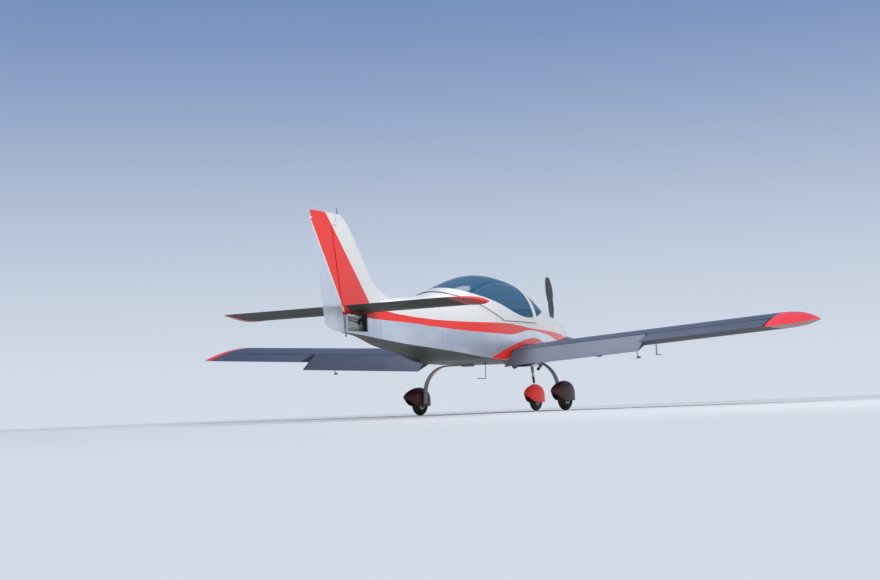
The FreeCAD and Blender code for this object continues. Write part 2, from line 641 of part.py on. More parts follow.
def blade_section(radius):
    """Blade profile at a radius: X along the shaft, Y across, twisted and tapered."""
    share = radius / size("prop_radius")
    chord = 46 + 250 * share * (1 - share) ** 0.6 if share < 0.985 else 46
    chord = min(chord, 132)
    thick = max(0.085, 0.52 * (1 - share) ** 2.2) * chord
    pitch = math.atan2(0.62 * size("prop_radius"), 2.6 * radius)
    upper, lower = [], []
    for step in range(9):
        u = (1 - math.cos(math.pi * step / 8)) / 2
        rise = thick * 1.9 * (math.sqrt(u) * (1 - u) ** 0.75 + 0.02)
        upper.append((chord * (0.38 - u), rise * 0.62))
        lower.append((chord * (0.38 - u), -rise * 0.38))
    outline = upper + lower[-1:0:-1]
    turned = [V(b * math.cos(pitch) + a * math.sin(pitch), a * math.cos(pitch) - b * math.sin(pitch), 0)
              for a, b in outline]
    curve = Part.BSplineCurve()
    curve.interpolate(turned, PeriodicFlag=True)
    return [curve]


BLADE_STEPS = [0.055, 0.12, 0.25, 0.45, 0.7, 0.88, 0.97, 1.0]
blades = []
for number in range(int(size("prop_count"))):
    blade = lofted("blade_%d" % number, "XY", [
        (share * size("prop_radius"), blade_section(share * size("prop_radius"))) for share in BLADE_STEPS])
    turn = number * 360 / size("prop_count") - size("prop_turn")
    blade.Placement = FreeCAD.Placement(V(0, 0, 0), FreeCAD.Rotation(V(1, 0, 0), turn))
    blades.append(place(blade, "prop_x", "0", "prop_height"))
hub_core = cylinder("hub_core", "hub_radius", 110, ("spinner_back_x + 8", 0, "prop_height"), ALONG_X)
propeller_blades = fuse("propeller_blades", hub_core, *blades)
place(spinner_cone, z="prop_height")
place(spinner_hollow, z="prop_height")
slots = []
for number in range(int(size("prop_count"))):
    turn = number * 360 / size("prop_count") - size("prop_turn")
    slot = cylinder("blade_slot_%d" % number, 56, "spinner_radius + 20", ("prop_x - 8", 0, "prop_height"),
                    FreeCAD.Rotation(V(1, 0, 0), turn))
    slots.append(slot)
spinner = cut("spinner", spinner_cone, spinner_hollow, *slots)


# Wing: one profile, swept by dihedral from the root to the tip's joint
def foil_points(thickness, camber, count, last=1.0):
    """Upper and lower points of a cambered profile of unit chord, from the nose to a share of the chord."""
    upper, lower = [], []
    for step in range(count):
        u = last * (1 - math.cos(math.pi * step / (count - 1))) / 2
        half = 5 * thickness * (0.2969 * math.sqrt(u) - 0.126 * u - 0.3516 * u**2 + 0.2843 * u**3 - 0.1015 * u**4)
        bend = camber * ((0.8 * u - u * u) / 0.16 if u < 0.4 else (0.2 + 0.8 * u - u * u) / 0.36)
        upper.append((u, bend + half))
        lower.append((u, bend - half))
    return upper, lower


def foil_curves(place_point, thickness, camber, count=12):
    """A profile as one curve round the nose and a short closing edge."""
    upper, lower = foil_points(thickness, camber, count)
    path = [V(*place_point(u, v), 0) for u, v in upper[::-1] + lower[1:]]
    curve = Part.BSplineCurve()
    curve.interpolate(path)
    return [curve, Part.LineSegment(path[-1], path[0])]


incidence = math.radians(size("wing_incidence"))
dihedral = math.tan(math.radians(size("wing_dihedral")))
chord = size("wing_chord")


def wing_point(u, v, span):
    """Side-view place of a point of the profile, at a distance from the centreline."""
    x = size("wing_nose_x") - chord * (u * math.cos(incidence) + v * math.sin(incidence))
    z = size("wing_nose_height") + span * dihedral + chord * (v * math.cos(incidence) - u * math.sin(incidence))
    return x, z


def wing_profile(span, inset=0):
    thickness = size("wing_thickness") - 2 * inset / chord
    return foil_curves(lambda u, v: wing_point(u, v, span), thickness, size("wing_camber"))


share = size("hinge_share")
above, below = foil_points(size("wing_thickness"), size("wing_camber"), 2, share)
hinge_v = (above[1][1] + below[1][1]) / 2
nose_radius = (above[1][1] - below[1][1]) / 2 * chord


def behind_hinge(span, radius, reach=600, tall=220):
    """Side view of everything behind the hinge, with a round nose about it."""
    middle = V(*wing_point(share, hinge_v, span), 0)
    up = V(-math.sin(incidence), math.cos(incidence), 0)
    aft = V(-math.cos(incidence), -math.sin(incidence), 0)
    top, foot_ = middle + up * radius, middle - up * radius
    arc = Part.Arc(foot_, middle - aft * radius, top)
    path = [top, middle + up * tall, middle + up * tall + aft * reach, middle - up * tall + aft * reach,
            middle - up * tall, foot_]
    return [arc] + [Part.LineSegment(a, b) for a, b in zip(path, path[1:])]


def span_loft(name, curves, inner, outer):
    """A straight-sided solid between two span stations on the left side."""
    return lofted(name, "XZ", [(inner, curves(size_of(inner))), (outer, curves(size_of(outer)))], ruled=True)


def size_of(text):
    """The value of an alias, or of an alias plus or minus a number."""
    words = text.split()
    total = size(words[0]) if words[0] in ALIASES else float(words[0])
    for sign, word in zip(words[1::2], words[2::2]):
        step = size(word) if word in ALIASES else float(word)
        total += step if sign == "+" else -step
    return total


gap = size("surface_gap")
wing_form = span_loft("wing_form", wing_profile, "head_half - 200", "wing_panel_end")
cove = span_loft("wing_cove", lambda y: behind_hinge(y, nose_radius + gap), "head_half - 260",
                 "wing_panel_end + 20")


def void_curves(spot, thickness, camber, first, last, wall, chord_length):
    """A closed polygon inside a profile, a wall's thickness under its surface."""
    shares = [first + (last - first) * step / 5 for step in range(6)]
    upper, lower = [], []
    for u in shares:
        half = 5 * thickness * (0.2969 * math.sqrt(u) - 0.126 * u - 0.3516 * u**2 + 0.2843 * u**3 - 0.1015 * u**4)
        bend = camber * ((0.8 * u - u * u) / 0.16 if u < 0.4 else (0.2 + 0.8 * u - u * u) / 0.36)
        room = max(half - 1.15 * wall / chord_length, 1.5 / chord_length)
        upper.append(spot(u, bend + room))
        lower.append(spot(u, bend - room))
    return closed(upper + lower[::-1])


def wing_void(span, first, last, wall):
    """The hollow between the skins of the wing, or of its flap or aileron."""
    return void_curves(lambda u, v: wing_point(u, v, span), size("wing_thickness"), size("wing_camber"),
                       first, last, size(wall), chord)


def pin(name, inner, outer, radius="pin_radius"):
    """A round pin along the hinge line of flap and aileron, between two span stations."""
    length = (size_of(outer) - size_of(inner)) / math.cos(math.radians(size("wing_dihedral")))
    x, z = wing_point(share, hinge_v, size_of(inner))
    turn = FreeCAD.Rotation(V(1, 0, 0), size("wing_dihedral") - 90)
    return cylinder(name, radius, length, (x, size_of(inner), z), turn)


rear_web = share - (nose_radius + 4 * gap) / chord
wing_hollow = span_loft("wing_hollow", lambda y: wing_void(y, 0.05, rear_web, "wing_skin"), "knee_half + 20",
                        "wing_panel_end - 12")
arm_inner = "flap_end + surface_gap"
arm_outer = arm_inner + " + arm_width"
arm_middle = V(*wing_point(share, hinge_v, size_of(arm_inner)), 0)


def arm_curves(span):
    """Side view of the hinge arm from the wing's rear spar to the hinge line."""
    return closed([wing_point(share - 0.12, 0.012, span), wing_point(share - 0.12, -0.032, span),
                   wing_point(share + 0.012, hinge_v - 0.014, span),
                   wing_point(share + 0.012, hinge_v + 0.012, span)])


hinge_arm = span_loft("hinge_arm", arm_curves, arm_inner, arm_outer)
wing_solid = fuse("wing_solid", cut("wing_shape", wing_form, trough_form, cove), hinge_arm)
pin_hole = pin("pin_hole", arm_inner + " - 4", arm_outer + " + 4", "pin_radius + pin_clearance")
wing_left = cut("wing_left", wing_solid, wing_hollow, pin_hole)
wing_right = mirrored("wing_right", wing_left)


def tip_section(share_out):
    """The wing tip's profile: its trailing edge rakes forward and its end rounds off."""
    reach = size("wing_span") / 2 - size("wing_panel_end")
    span = size("wing_panel_end") + share_out * reach
    shrink = 1 - 0.52 * share_out**2.2
    plump = math.sqrt(max(1 - share_out**5, 0.06))

    def spot(u, v):
        return wing_point(0.02 * share_out + u * shrink, v * plump * shrink, span)

    return foil_curves(spot, size("wing_thickness"), size("wing_camber"))


TIP_STEPS = [0, 0.3, 0.6, 0.82, 0.94, 1.0]
tip_reach = "(wing_span / 2 - wing_panel_end)"
tip_blank = lofted("tip_blank", "XZ", [
    ("wing_panel_end + %s * %s" % (s, tip_reach), tip_section(s)) for s in TIP_STEPS])
lamp_share = (size("lamp_y") - size("wing_panel_end")) / (size("wing_span") / 2 - size("wing_panel_end"))
lamp_x, lamp_z = wing_point(0.02 * lamp_share, 0, size("lamp_y"))
lamp_pocket = cylinder("lamp_pocket", "lamp_radius + seat_gap", 100,
                       ("%s - lamp_depth" % lamp_x, "lamp_y", lamp_z), ALONG_X)
tip_lamp_left = cylinder("tip_lamp_left", "lamp_radius", "lamp_depth + 5",
                         ("%s - lamp_depth + seat_gap" % lamp_x, "lamp_y", lamp_z), ALONG_X)
tip_pin_hole = pin("tip_pin_hole", "wing_panel_end - 2", "wing_panel_end + 22", "pin_radius + pin_clearance")
tip_left = cut("tip_left", tip_blank, tip_pin_hole, lamp_pocket)
wing_tips = both_sides("wing_tips", tip_left)


# Flaps and ailerons: the profile behind the hinge, each with its round nose
def trailing_surface(name, inner, outer):
    tool = span_loft(name + "_tool", lambda y: behind_hinge(y, nose_radius - 0.5), inner, outer)
    form = span_loft(name + "_form", wing_profile, inner + " - 20", outer + " + 20")
    hollow = span_loft(name + "_hollow", lambda y: wing_void(y, share + 0.005, 0.96, "flap_skin"),
                       inner + " + 8",
                       outer + " - 8")
    return cut(name + "_shell", common(name + "_blank", form, tool), hollow)


flap_shell = trailing_surface("flap", "flap_root", "flap_end")
flap_left = fuse("flap_left", flap_shell,
                 pin("flap_inner_pin", "knee_half - 12", "flap_root + 9"),
                 pin("flap_outer_pin", "flap_end - 9", "flap_end + surface_gap + 6"))
hinge_origin = V(wing_point(share, hinge_v, 0)[0], 0, wing_point(share, hinge_v, 0)[1])
hinge_axis = V(0, 1, dihedral)
hinge_axis.normalize()
flap_left.Placement = FreeCAD.Placement(V(0, 0, 0), FreeCAD.Rotation(hinge_axis, -size("flap_angle")),
                                        hinge_origin)
flap_right = mirrored("flap_right", flap_left)
aileron_left = fuse("aileron_left", trailing_surface("aileron", "aileron_root", "aileron_end"),
                    pin("aileron_inner_pin", "flap_end + surface_gap + 7", "aileron_root + 9"),
                    pin("aileron_outer_pin", "aileron_end - 9", "wing_panel_end + 16"))
aileron_right = mirrored("aileron_right", aileron_left)
flap_hole = pin("flap_hole", "knee_half - 40", "knee_half + 20", "pin_radius + pin_clearance")
fuselage_lower = cut("fuselage_lower", fuselage_open, flap_hole, mirrored("flap_hole_right", flap_hole))

# Tailplane and elevator: a thin symmetrical profile, split at the elevator's hinge
tail_chord = size("tail_chord")


def tail_point(u, v):
    """Side-view place of a point of the tailplane's profile; u runs from the nose."""
    x = size("tail_edge_x") + tail_chord * ((1 - u) * math.cos(tail_tilt) - v * math.sin(tail_tilt))
    z = size("tail_edge_height") + tail_chord * ((1 - u) * math.sin(tail_tilt) + v * math.cos(tail_tilt))
    return x, z


def tail_profile(inset=0):
    return foil_curves(tail_point, size("tail_thickness") - 2 * inset / tail_chord, 0, 10)


tail_half_upper = foil_points(size("tail_thickness"), 0, 2, size("elevator_share"))[0][1][1] * tail_chord


def behind_elevator_hinge(radius, reach=520, tall=120):
    middle = V(*tail_point(size("elevator_share"), 0), 0)
    up = V(-math.sin(tail_tilt), math.cos(tail_tilt), 0)
    aft = V(-math.cos(tail_tilt), -math.sin(tail_tilt), 0)
    top, low = middle + up * radius, middle - up * radius
    arc = Part.Arc(low, middle - aft * radius, top)
    path = [top, middle + up * tall, middle + up * tall + aft * reach, middle - up * tall + aft * reach,
            middle - up * tall, low]
    return [arc] + [Part.LineSegment(a, b) for a, b in zip(path, path[1:])]


def side_slab(name, curves, inner, outer):
    """A side-view outline given thickness between two span stations on the left side."""
    return padded(name, "XZ_Plane", curves, "(%s) - (%s)" % (outer, inner), "-(%s)" % outer)


tail_form = side_slab("tail_form", tail_profile(), "0", "tail_panel_end")
tail_cove = side_slab("tail_cove", behind_elevator_hinge(tail_half_upper + gap), "-20", "tail_panel_end + 20")

def tail_void(first, last):
    return void_curves(tail_point, size("tail_thickness"), 0, first, last, size("tail_skin"), tail_chord)


tail_web = size("elevator_share") - (tail_half_upper + 3 * gap) / tail_chord
tail_hollow = side_slab("tail_hollow", tail_void(0.08, tail_web), "tail_half", "tail_panel_end - 10")


def tail_tip_section(share_out):
    """Tip of the tailplane: raked trailing edge and a round end."""
    shrink = 1 - 0.45 * share_out**2
    plump = math.sqrt(max(1 - share_out**5, 0.08))
    return foil_curves(lambda u, v: tail_point(0.03 * share_out + u * shrink, v * plump),
                       size("tail_thickness") * 1.15, 0, 10)


tail_tip_reach = "(tail_span / 2 - tail_panel_end)"
tail_tip = lofted("tail_tip", "XZ", [
    ("tail_panel_end + %s * %s" % (s, tail_tip_reach), tail_tip_section(s)) for s in TIP_STEPS])
tailplane_tips = both_sides("tailplane_tips", tail_tip)

elevator_form = side_slab("elevator_form", tail_profile(), "elevator_root", "tail_panel_end - 14")
elevator_tool = side_slab("elevator_tool", behind_elevator_hinge(tail_half_upper - 0.5), "0",
                          "tail_panel_end")
notch_run = size("tail_edge_x") - EXTRA
notch = padded("elevator_notch_tool", "XY_Plane", closed([
    (torque_x + 60, -size("elevator_root")), (torque_x + 60, size("elevator_root")),
    (torque_x - 40, size("elevator_root")), (notch_run, size("elevator_notch")),
    (notch_run, -size("elevator_notch")), (torque_x - 40, -size("elevator_root"))]), "400", "1000")
elevator_void = side_slab("elevator_void", tail_void(size("elevator_share") + 0.005, 0.95),
                          "elevator_notch + 30",
                          "tail_panel_end - 26")
elevator_half = cut("elevator_half", common("elevator_blank", elevator_form, elevator_tool), notch,
                    elevator_void)
torque_tube = cylinder("torque_tube", "torque_radius", "2 * elevator_root + 40",
                       (torque_x, "-elevator_root - 20", torque_z), ALONG_Y)
horn_end = torque_z - size("horn_drop")
horn = padded("elevator_horn", "XZ_Plane", closed([
    (torque_x - 14, torque_z - 6), (torque_x + 14, torque_z - 6), (torque_x + 9, horn_end),
    (torque_x - 9, horn_end)]), "6", "-3")
elevator = fuse("elevator", elevator_half, mirrored("elevator_other_half", elevator_half), torque_tube, horn)

# Fin and rudder: one swept surface, split along the leaning hinge
lean = math.tan(math.radians(size("rudder_lean")))


def between(low, high, height):
    """A station on the fin's straight leading or trailing edge, at a height."""
    share_up = (height - size("fin_low")) / (size("fin_top") - size("fin_low"))
    return size(low) + share_up * (size(high) - size(low))


def fin_section(height, round_front=0, thin=1):
    front = between("fin_nose_low_x", "fin_nose_top_x", height) - round_front
    back = between("fin_edge_low_x", "fin_edge_top_x", height)
    run = front - back

    def spot(u, v):
        return front - u * run, v * run

    return foil_curves(spot, size("fin_thickness") * thin, 0, 10)


def hinge_x(height):
    return size("rudder_foot_x") - (height - size("rudder_foot_height")) * lean


FIN_STEPS = [(0, 0, 1), (0.5, 0, 1), (0.9, 0, 1), (0.965, 22, 0.95), (1.0, 75, 0.75)]
fin_rise = size("fin_top") - size("fin_low")
fin_form = lofted("fin_form", "XY", [
    ("fin_low + %s * (fin_top - fin_low)" % up, fin_section(size("fin_low") + up * fin_rise, back, thin))
    for up, back, thin in FIN_STEPS])


def crown_at(x):
    """Height of the fuselage's top at a station, taken straight between the named stations."""
    for rear, fore in zip(STATIONS, STATIONS[1:]):
        if x <= size(fore + "_x"):
            way = (x - size(rear + "_x")) / (size(fore + "_x") - size(rear + "_x"))
            return size(rear + "_crown") + way * (size(fore + "_crown") - size(rear + "_crown"))


# Dorsal fillet: it leaves the leading edge, sweeps forward and runs out on the deck
fillet_rear_x = between("fin_nose_low_x", "fin_nose_top_x", size("fillet_top")) - 12
fillet_run = size("fillet_front_x") - fillet_rear_x
fillet_rise = size("fillet_top") - crown_at(fillet_rear_x)
fillet_sections = []
for way in (0, 0.15, 0.3, 0.5, 0.75, 1.0):
    station = fillet_rear_x + way * fillet_run
    top = crown_at(station) + fillet_rise * (1 - way)**2.2 - 4
    low = crown_at(station) - 60
    half = size("fillet_half")
    fillet_sections.append((station, [half_oval(half, low, top, 0.7),
                                      Part.LineSegment(V(-half, low, 0), V(half, low, 0))]))
dorsal_fillet = lofted("dorsal_fillet", "YZ", fillet_sections)
front_gap = size("rudder_nose") + gap
fin_base = size("fin_base")
fin_top = size("fin_top") + EXTRA
horn_z = size("horn_height")
fin_side = side_prism("fin_side", closed([
    (hinge_x(fin_base) + front_gap, fin_base), (0, fin_base), (0, fin_top),
    (hinge_x(fin_top) + size("horn_reach") + 10, fin_top),
    (hinge_x(horn_z) + size("horn_reach") + 10, horn_z - 9),
    (hinge_x(horn_z - 9) + front_gap, horn_z - 9)]))
rudder_foot = size("rudder_foot_height")
rudder_side = side_prism("rudder_side", closed([
    (hinge_x(rudder_foot), rudder_foot), (hinge_x(horn_z), horn_z),
    (hinge_x(horn_z) + size("horn_reach"), horn_z),
    (hinge_x(fin_top) + size("horn_reach"), fin_top), (-FAR, fin_top), (-FAR, 1062),
    (-2975, 1022), (-2920, 984), (-2800, rudder_foot + 10)]))
hinge_turn = FreeCAD.Rotation(V(0, 1, 0), -size("rudder_lean"))


def on_hinge(name, radius, height, length):
    """A cylinder on the rudder's hinge line, from a height upwards along it."""
    return cylinder(name, radius, length, (hinge_x(height), 0, height), hinge_turn)


def fin_void(height, rear):
    """The hollow of the fin, or of the rudder behind the hinge, at a height."""
    front = between("fin_nose_low_x", "fin_nose_top_x", height)
    run = front - between("fin_edge_low_x", "fin_edge_top_x", height)
    hinge_at = (front - hinge_x(height)) / run
    first, last = (hinge_at + 30 / run, 0.93) if rear else (0.09, hinge_at - 45 / run)
    return void_curves(lambda u, v: (front - u * run, v * run), size("fin_thickness"), 0, first, last,
                       size("tail_skin"), run)


LUG_HEIGHTS = [1290, 1700, 2040]
lug_tall = size("lug_tall")
rod_length = "(horn_height - rudder_foot_height) / cos(rudder_lean)"
nose_rod = on_hinge("rudder_nose_rod", "rudder_nose", rudder_foot, rod_length)
rudder_hollow = lofted("rudder_hollow", "XY", [(z, fin_void(z, True)) for z in (1080, 2070)], ruled=True)
rudder_panel = cut("rudder_panel", common("rudder_blank", fin_form, rudder_side), rudder_hollow)
rudder_horn = box("rudder_horn", ("rudder_foot_x - 30", -58, "rudder_foot_height + 16"),
                  ("rudder_foot_x - 4", 58, "rudder_foot_height + 21"))
lug_slots = [on_hinge("lug_slot_%d" % n, "rudder_nose + 9", z - size("seat_gap"), "lug_tall + 2 * seat_gap")
             for n, z in enumerate(LUG_HEIGHTS)]
pins = [on_hinge("rudder_pin_%d" % n, "pin_radius", z - 8, lug_tall + 16) for n, z in enumerate(LUG_HEIGHTS)]
rudder_mass = fuse("rudder_mass", rudder_panel, nose_rod, rudder_horn)
rudder = fuse("rudder", cut("rudder_body", rudder_mass, *lug_slots), *pins)
lugs = [on_hinge("lug_%d" % n, "lug_radius", z, lug_tall) for n, z in enumerate(LUG_HEIGHTS)]
lug_holes = [on_hinge("lug_hole_%d" % n, "pin_radius + pin_clearance", z - 5, lug_tall + 10)
             for n, z in enumerate(LUG_HEIGHTS)]
for n, z in enumerate(LUG_HEIGHTS):
    bar = doc.addObject("Part::Box", "lug_bar_%d" % n)
    bind(bar, Length=60, Width="2 * pin_radius", Height="lug_tall")
    bar.Placement = FreeCAD.Placement(V(hinge_x(z), -size("pin_radius"), z), hinge_turn)
    lugs.append(bar)
fin_hollow = lofted("fin_hollow", "XY", [(z, fin_void(z, False)) for z in (1330, 2050)], ruled=True)
fin_solid = fuse("fin_solid", common("fin_blank", fin_form, fin_side), dorsal_fillet, *lugs)
fin = cut("fin", fin_solid, dome_form, fin_hollow, torque_hole, *lug_holes)
tail_panel = cut("tail_panel", tail_form, dome_form, trough_form, tail_cove, tail_hollow, fin_form)
tailplane = both_sides("tailplane", tail_panel)
tail_lamp = cylinder("tail_lamp", 11, 26, ("fin_edge_top_x + 1", 0, "fin_top - 84"), ALONG_X)
tail_light = cut("tail_light", tail_lamp, fin_form)

# Main gear: spring legs, axles, wheels and fairings
half_track = "wheel_track / 2"


def leg_curves():
    """Front view of a leg as Y and Z: along the belly, round the bend and down to the axle."""
    half = size("leg_thickness") / 2
    bend = size("leg_bend")
    turn = math.radians(size("leg_turn"))
    root_y, inner_y = size("leg_root_y"), 240
    top_z = size("knee_belly") - half - 1
    centre = V(root_y, top_z - bend, 0)
    down = V(math.cos(turn), -math.sin(turn), 0)
    axle_z = size("wheel_radius") - 24

    def rim(radius, angle):
        return centre + V(math.sin(angle) * radius, math.cos(angle) * radius, 0)

    outer, inner = bend + half, bend - half
    run = (rim(bend, turn).y - axle_z) / math.sin(turn)
    arc_out = Part.Arc(rim(outer, 0), rim(outer, turn / 2), rim(outer, turn))
    arc_in = Part.Arc(rim(inner, turn), rim(inner, turn / 2), rim(inner, 0))
    out_end, in_end = rim(outer, turn) + down * run, rim(inner, turn) + down * run
    in_start = V(inner_y, top_z - half, 0)
    out_start = V(inner_y, top_z + half, 0)
    return [Part.LineSegment(out_start, rim(outer, 0)), arc_out, Part.LineSegment(rim(outer, turn), out_end),
            Part.LineSegment(out_end, in_end), Part.LineSegment(in_end, rim(inner, turn)), arc_in,
            Part.LineSegment(rim(inner, 0), in_start), Part.LineSegment(in_start, out_start)]


leg_left = padded("leg_left", "YZ_Plane", leg_curves(), "leg_width", "wheel_x - leg_width / 2")
axle_left = cylinder("axle_left", "axle_radius", "tyre_width + 20",
                     ("wheel_x", half_track + " - tyre_width / 2 - 32",
                     "wheel_radius"), ALONG_Y)
clamp = box("leg_clamp", ("wheel_x - leg_width / 2 - clamp_edge", "clamp_inner", "knee_belly - clamp_drop"),
            ("wheel_x + leg_width / 2 + clamp_edge", "clamp_outer", "knee_belly + skin"))
leg_clamp = cut("leg_clamp_trimmed", clamp, trough_form)
main_leg_left = fuse("main_leg_left", leg_left, axle_left, leg_clamp)
main_legs = both_sides("main_legs", main_leg_left)


def tyre_curves(radius, rim_radius, width):
    """Half of a tyre's section, as radius and width, hollow over the rim."""
    half = width / 2
    tread = Part.BSplineCurve()
    tread.interpolate([V(rim_radius, half * 0.72, 0), V((rim_radius + radius) / 2, half, 0),
                       V(radius - half * 0.18, half * 0.6, 0), V(radius, 0, 0),
                       V(radius - half * 0.18, -half * 0.6, 0), V((rim_radius + radius) / 2, -half, 0),
                       V(rim_radius, -half * 0.72, 0)])
    return [tread, Part.LineSegment(V(rim_radius, -half * 0.72, 0), V(rim_radius, half * 0.72, 0))]


def rim_curves(rim_radius, width, bore):
    """Section of a rim with a dished web and a hub."""
    half = width * 0.36
    hub = size("hub_width") / 2
    return closed([(bore, -hub), (bore + 16, -hub), (bore + 20, -10), (rim_radius - 14, -10),
                   (rim_radius - 12, -half),
                   (rim_radius, -half), (rim_radius, half), (rim_radius - 12, half), (rim_radius - 14, 10),
                   (bore + 20, 10), (bore + 16, hub), (bore, hub)])


bore = size("axle_radius") + size("axle_clearance")
tyre_left = revolved("tyre_left", "XY_Plane", tyre_curves(size("wheel_radius"), size("rim_radius"),
                                                          size("tyre_width")), "V_Axis")
rim_left = revolved("rim_left", "XY_Plane", rim_curves(size("rim_radius"), size("tyre_width"), bore),
                    "V_Axis")
for item in (tyre_left, rim_left):
    place(item, "wheel_x", half_track, "wheel_radius")
tyre_right = mirrored("tyre_right", tyre_left)
rim_right = mirrored("rim_right", rim_left)


# Wheel fairings: pointed teardrops, open below, with a blunt upright front
def fairing_curves(half, foot_, middle, top, grow):
    """Front view of a fairing at one station: upright sides and a rounded top."""
    side = half + grow
    floor = foot_ - (60 if grow < 0 else 0)
    return [half_oval(side, middle, top + grow, 1.0),
            Part.LineSegment(V(-side, middle, 0), V(-side, floor, 0)),
            Part.LineSegment(V(-side, floor, 0), V(side, floor, 0)),
            Part.LineSegment(V(side, floor, 0), V(side, middle, 0))]


def fairing(name, side, wheel_at, centre_y):
    """A shell lofted along X from the pointed tail to the blunt front."""
    half, aft, fore = size(side + "fairing_half"), size(side + "fairing_aft"), size(side + "fairing_fore")
    low, high = size(side + "fairing_foot"), size(side + "fairing_top")
    tip = (low + high) / 2
    shape = [(-1.0, 0.07, 0.94, 0.10), (-0.72, 0.55, 0.5, 0.56), (-0.4, 0.88, 0.12, 0.86),
             (-0.1, 1.0, 0, 0.99),
             (0.35, 1.0, 0, 0.93), (0.75, 0.88, 0, 0.68), (1.0, 0.52, 0, 0.16)]
    forms = []
    for label, grow in (("form", 0), ("room", -size("fairing_wall"))):
        sections = []
        for number, (where, wide, lift, rise) in enumerate(shape):
            if grow and number == 0:
                where, wide, lift, rise = -0.84, 0.34, 0.7, 0.36
            station = wheel_at + " + " + ("%s * %sfairing_aft" % (where, side) if where < 0
                                          else "%s * %sfairing_fore" % (where, side))
            if grow and number == len(shape) - 1:
                station += " - fairing_wall"
            foot_ = low + lift * (tip - low)
            middle = foot_ + 0.45 * (tip - foot_) + 0.55 * rise * (high - tip)
            sections.append((station,
                             fairing_curves(half * wide, foot_, middle, tip + rise * (high - tip), grow)))
        form = lofted("%s_%s" % (name, label), "YZ", sections)
        for section in form.Sections:
            bind(section, Placement__Base__y=centre_y)
        forms.append(form)
    return forms


main_form, main_room = fairing("main_fairing", "", "wheel_x", half_track)
axle_hole = cylinder("axle_hole", "axle_radius + seat_gap", 200,
                     ("wheel_x", half_track + " - fairing_half - 100",
                     "wheel_radius"), ALONG_Y)
main_fairing_left = cut("main_fairing_left", main_form, main_room, axle_hole)
main_fairings = both_sides("main_fairings", main_fairing_left)

# Nose gear: strut, fork, fairing and wheel, which steer together
strut_top = V(size("strut_top_x"), 0, size("strut_top_height"))
strut_low = V(size("strut_low_x"), 0, size("strut_low_height"))
strut_line = strut_top - strut_low
strut_turn = FreeCAD.Rotation(V(0, 0, 1), strut_line)
strut_length = strut_line.Length


def on_strut(name, radius, start, length):
    """A cylinder on the strut's axis, from a distance above its lower end."""
    spot = strut_low + strut_line * (start / strut_length)
    return cylinder(name, radius, length, (spot.x, 0, spot.z), strut_turn)


nose_axle_z = size("nose_wheel_radius")
fork_inner = size("nose_tyre_width") / 2 + size("fork_gap")
fork_outer = fork_inner + size("fork_blade")
crown_low = 2 * nose_axle_z + 7
fork_waist = 280


def upright(y, low, high):
    return Part.LineSegment(V(y, low, 0), V(y, high, 0))


def level(z, a, b):
    return Part.LineSegment(V(a, z, 0), V(b, z, 0))


fork_foot = nose_axle_z - 20
fork = padded("fork", "YZ_Plane", [
    half_oval(fork_outer, fork_waist, crown_low + 13), upright(-fork_outer, fork_waist, fork_foot),
    level(fork_foot, -fork_outer, -fork_inner), upright(-fork_inner, fork_foot, fork_waist),
    half_oval(fork_inner, fork_waist, crown_low), upright(fork_inner, fork_waist, fork_foot),
    level(fork_foot, fork_inner, fork_outer), upright(fork_outer, fork_foot, fork_waist)], 56,
    "nose_wheel_x - 38")
nose_axle = cylinder("nose_axle", "nose_axle_radius", "2 * nose_fairing_half + 16",
                     ("nose_wheel_x", "-nose_fairing_half - 8", "nose_wheel_radius"), ALONG_Y)
inner_tube = on_strut("inner_tube", "strut_radius - strut_step", -28, strut_length + 78)
outer_tube = on_strut("outer_tube", "strut_radius", 96, 250)
collar_low = on_strut("collar_low", "strut_radius + 7", 92, 22)
collar_high = on_strut("collar_high", "strut_radius + 5", 318, 16)
nose_leg = fuse("nose_leg", fork, nose_axle, inner_tube, outer_tube, collar_low, collar_high)
nose_form, nose_room = fairing("nose_fairing", "nose_", "nose_wheel_x", "0")
nose_axle_hole = cylinder("nose_axle_hole", "nose_axle_radius + seat_gap", 400,
                          ("nose_wheel_x", -200, "nose_wheel_radius"), ALONG_Y)
strut_hole = on_strut("strut_hole", "strut_radius - strut_step + 2", -60, 200)
nose_fairing = cut("nose_fairing", nose_form, nose_room, nose_axle_hole, strut_hole)
sleeve = on_strut("sleeve", "strut_radius + 16", 352, 170)
sleeve_bore = on_strut("sleeve_bore", "strut_radius - strut_step + seat_gap", 300, 300)
mount_arm = box("mount_arm", ("firewall_x", -60, 742), ("strut_top_x + 8", 60, 790))
mount_low_arm = box("mount_low_arm", ("firewall_x", -26, 790), ("strut_top_x - 30", 26, 870))
nose_strut_mount = cut("nose_strut_mount", fuse("strut_mount_blank", sleeve, mount_arm, mount_low_arm),
                       sleeve_bore)
nose_bore = size("nose_axle_radius") + size("axle_clearance")
nose_tyre = revolved("nose_tyre", "XY_Plane", tyre_curves(nose_axle_z, size("rim_radius") - 6,
                                                          size("nose_tyre_width")), "V_Axis")
nose_rim_curves = rim_curves(size("rim_radius") - 6, size("nose_tyre_width"), nose_bore)
nose_rim = revolved("nose_rim", "XY_Plane", nose_rim_curves, "V_Axis")
for item in (nose_tyre, nose_rim):
    place(item, "nose_wheel_x", "0", "nose_wheel_radius")

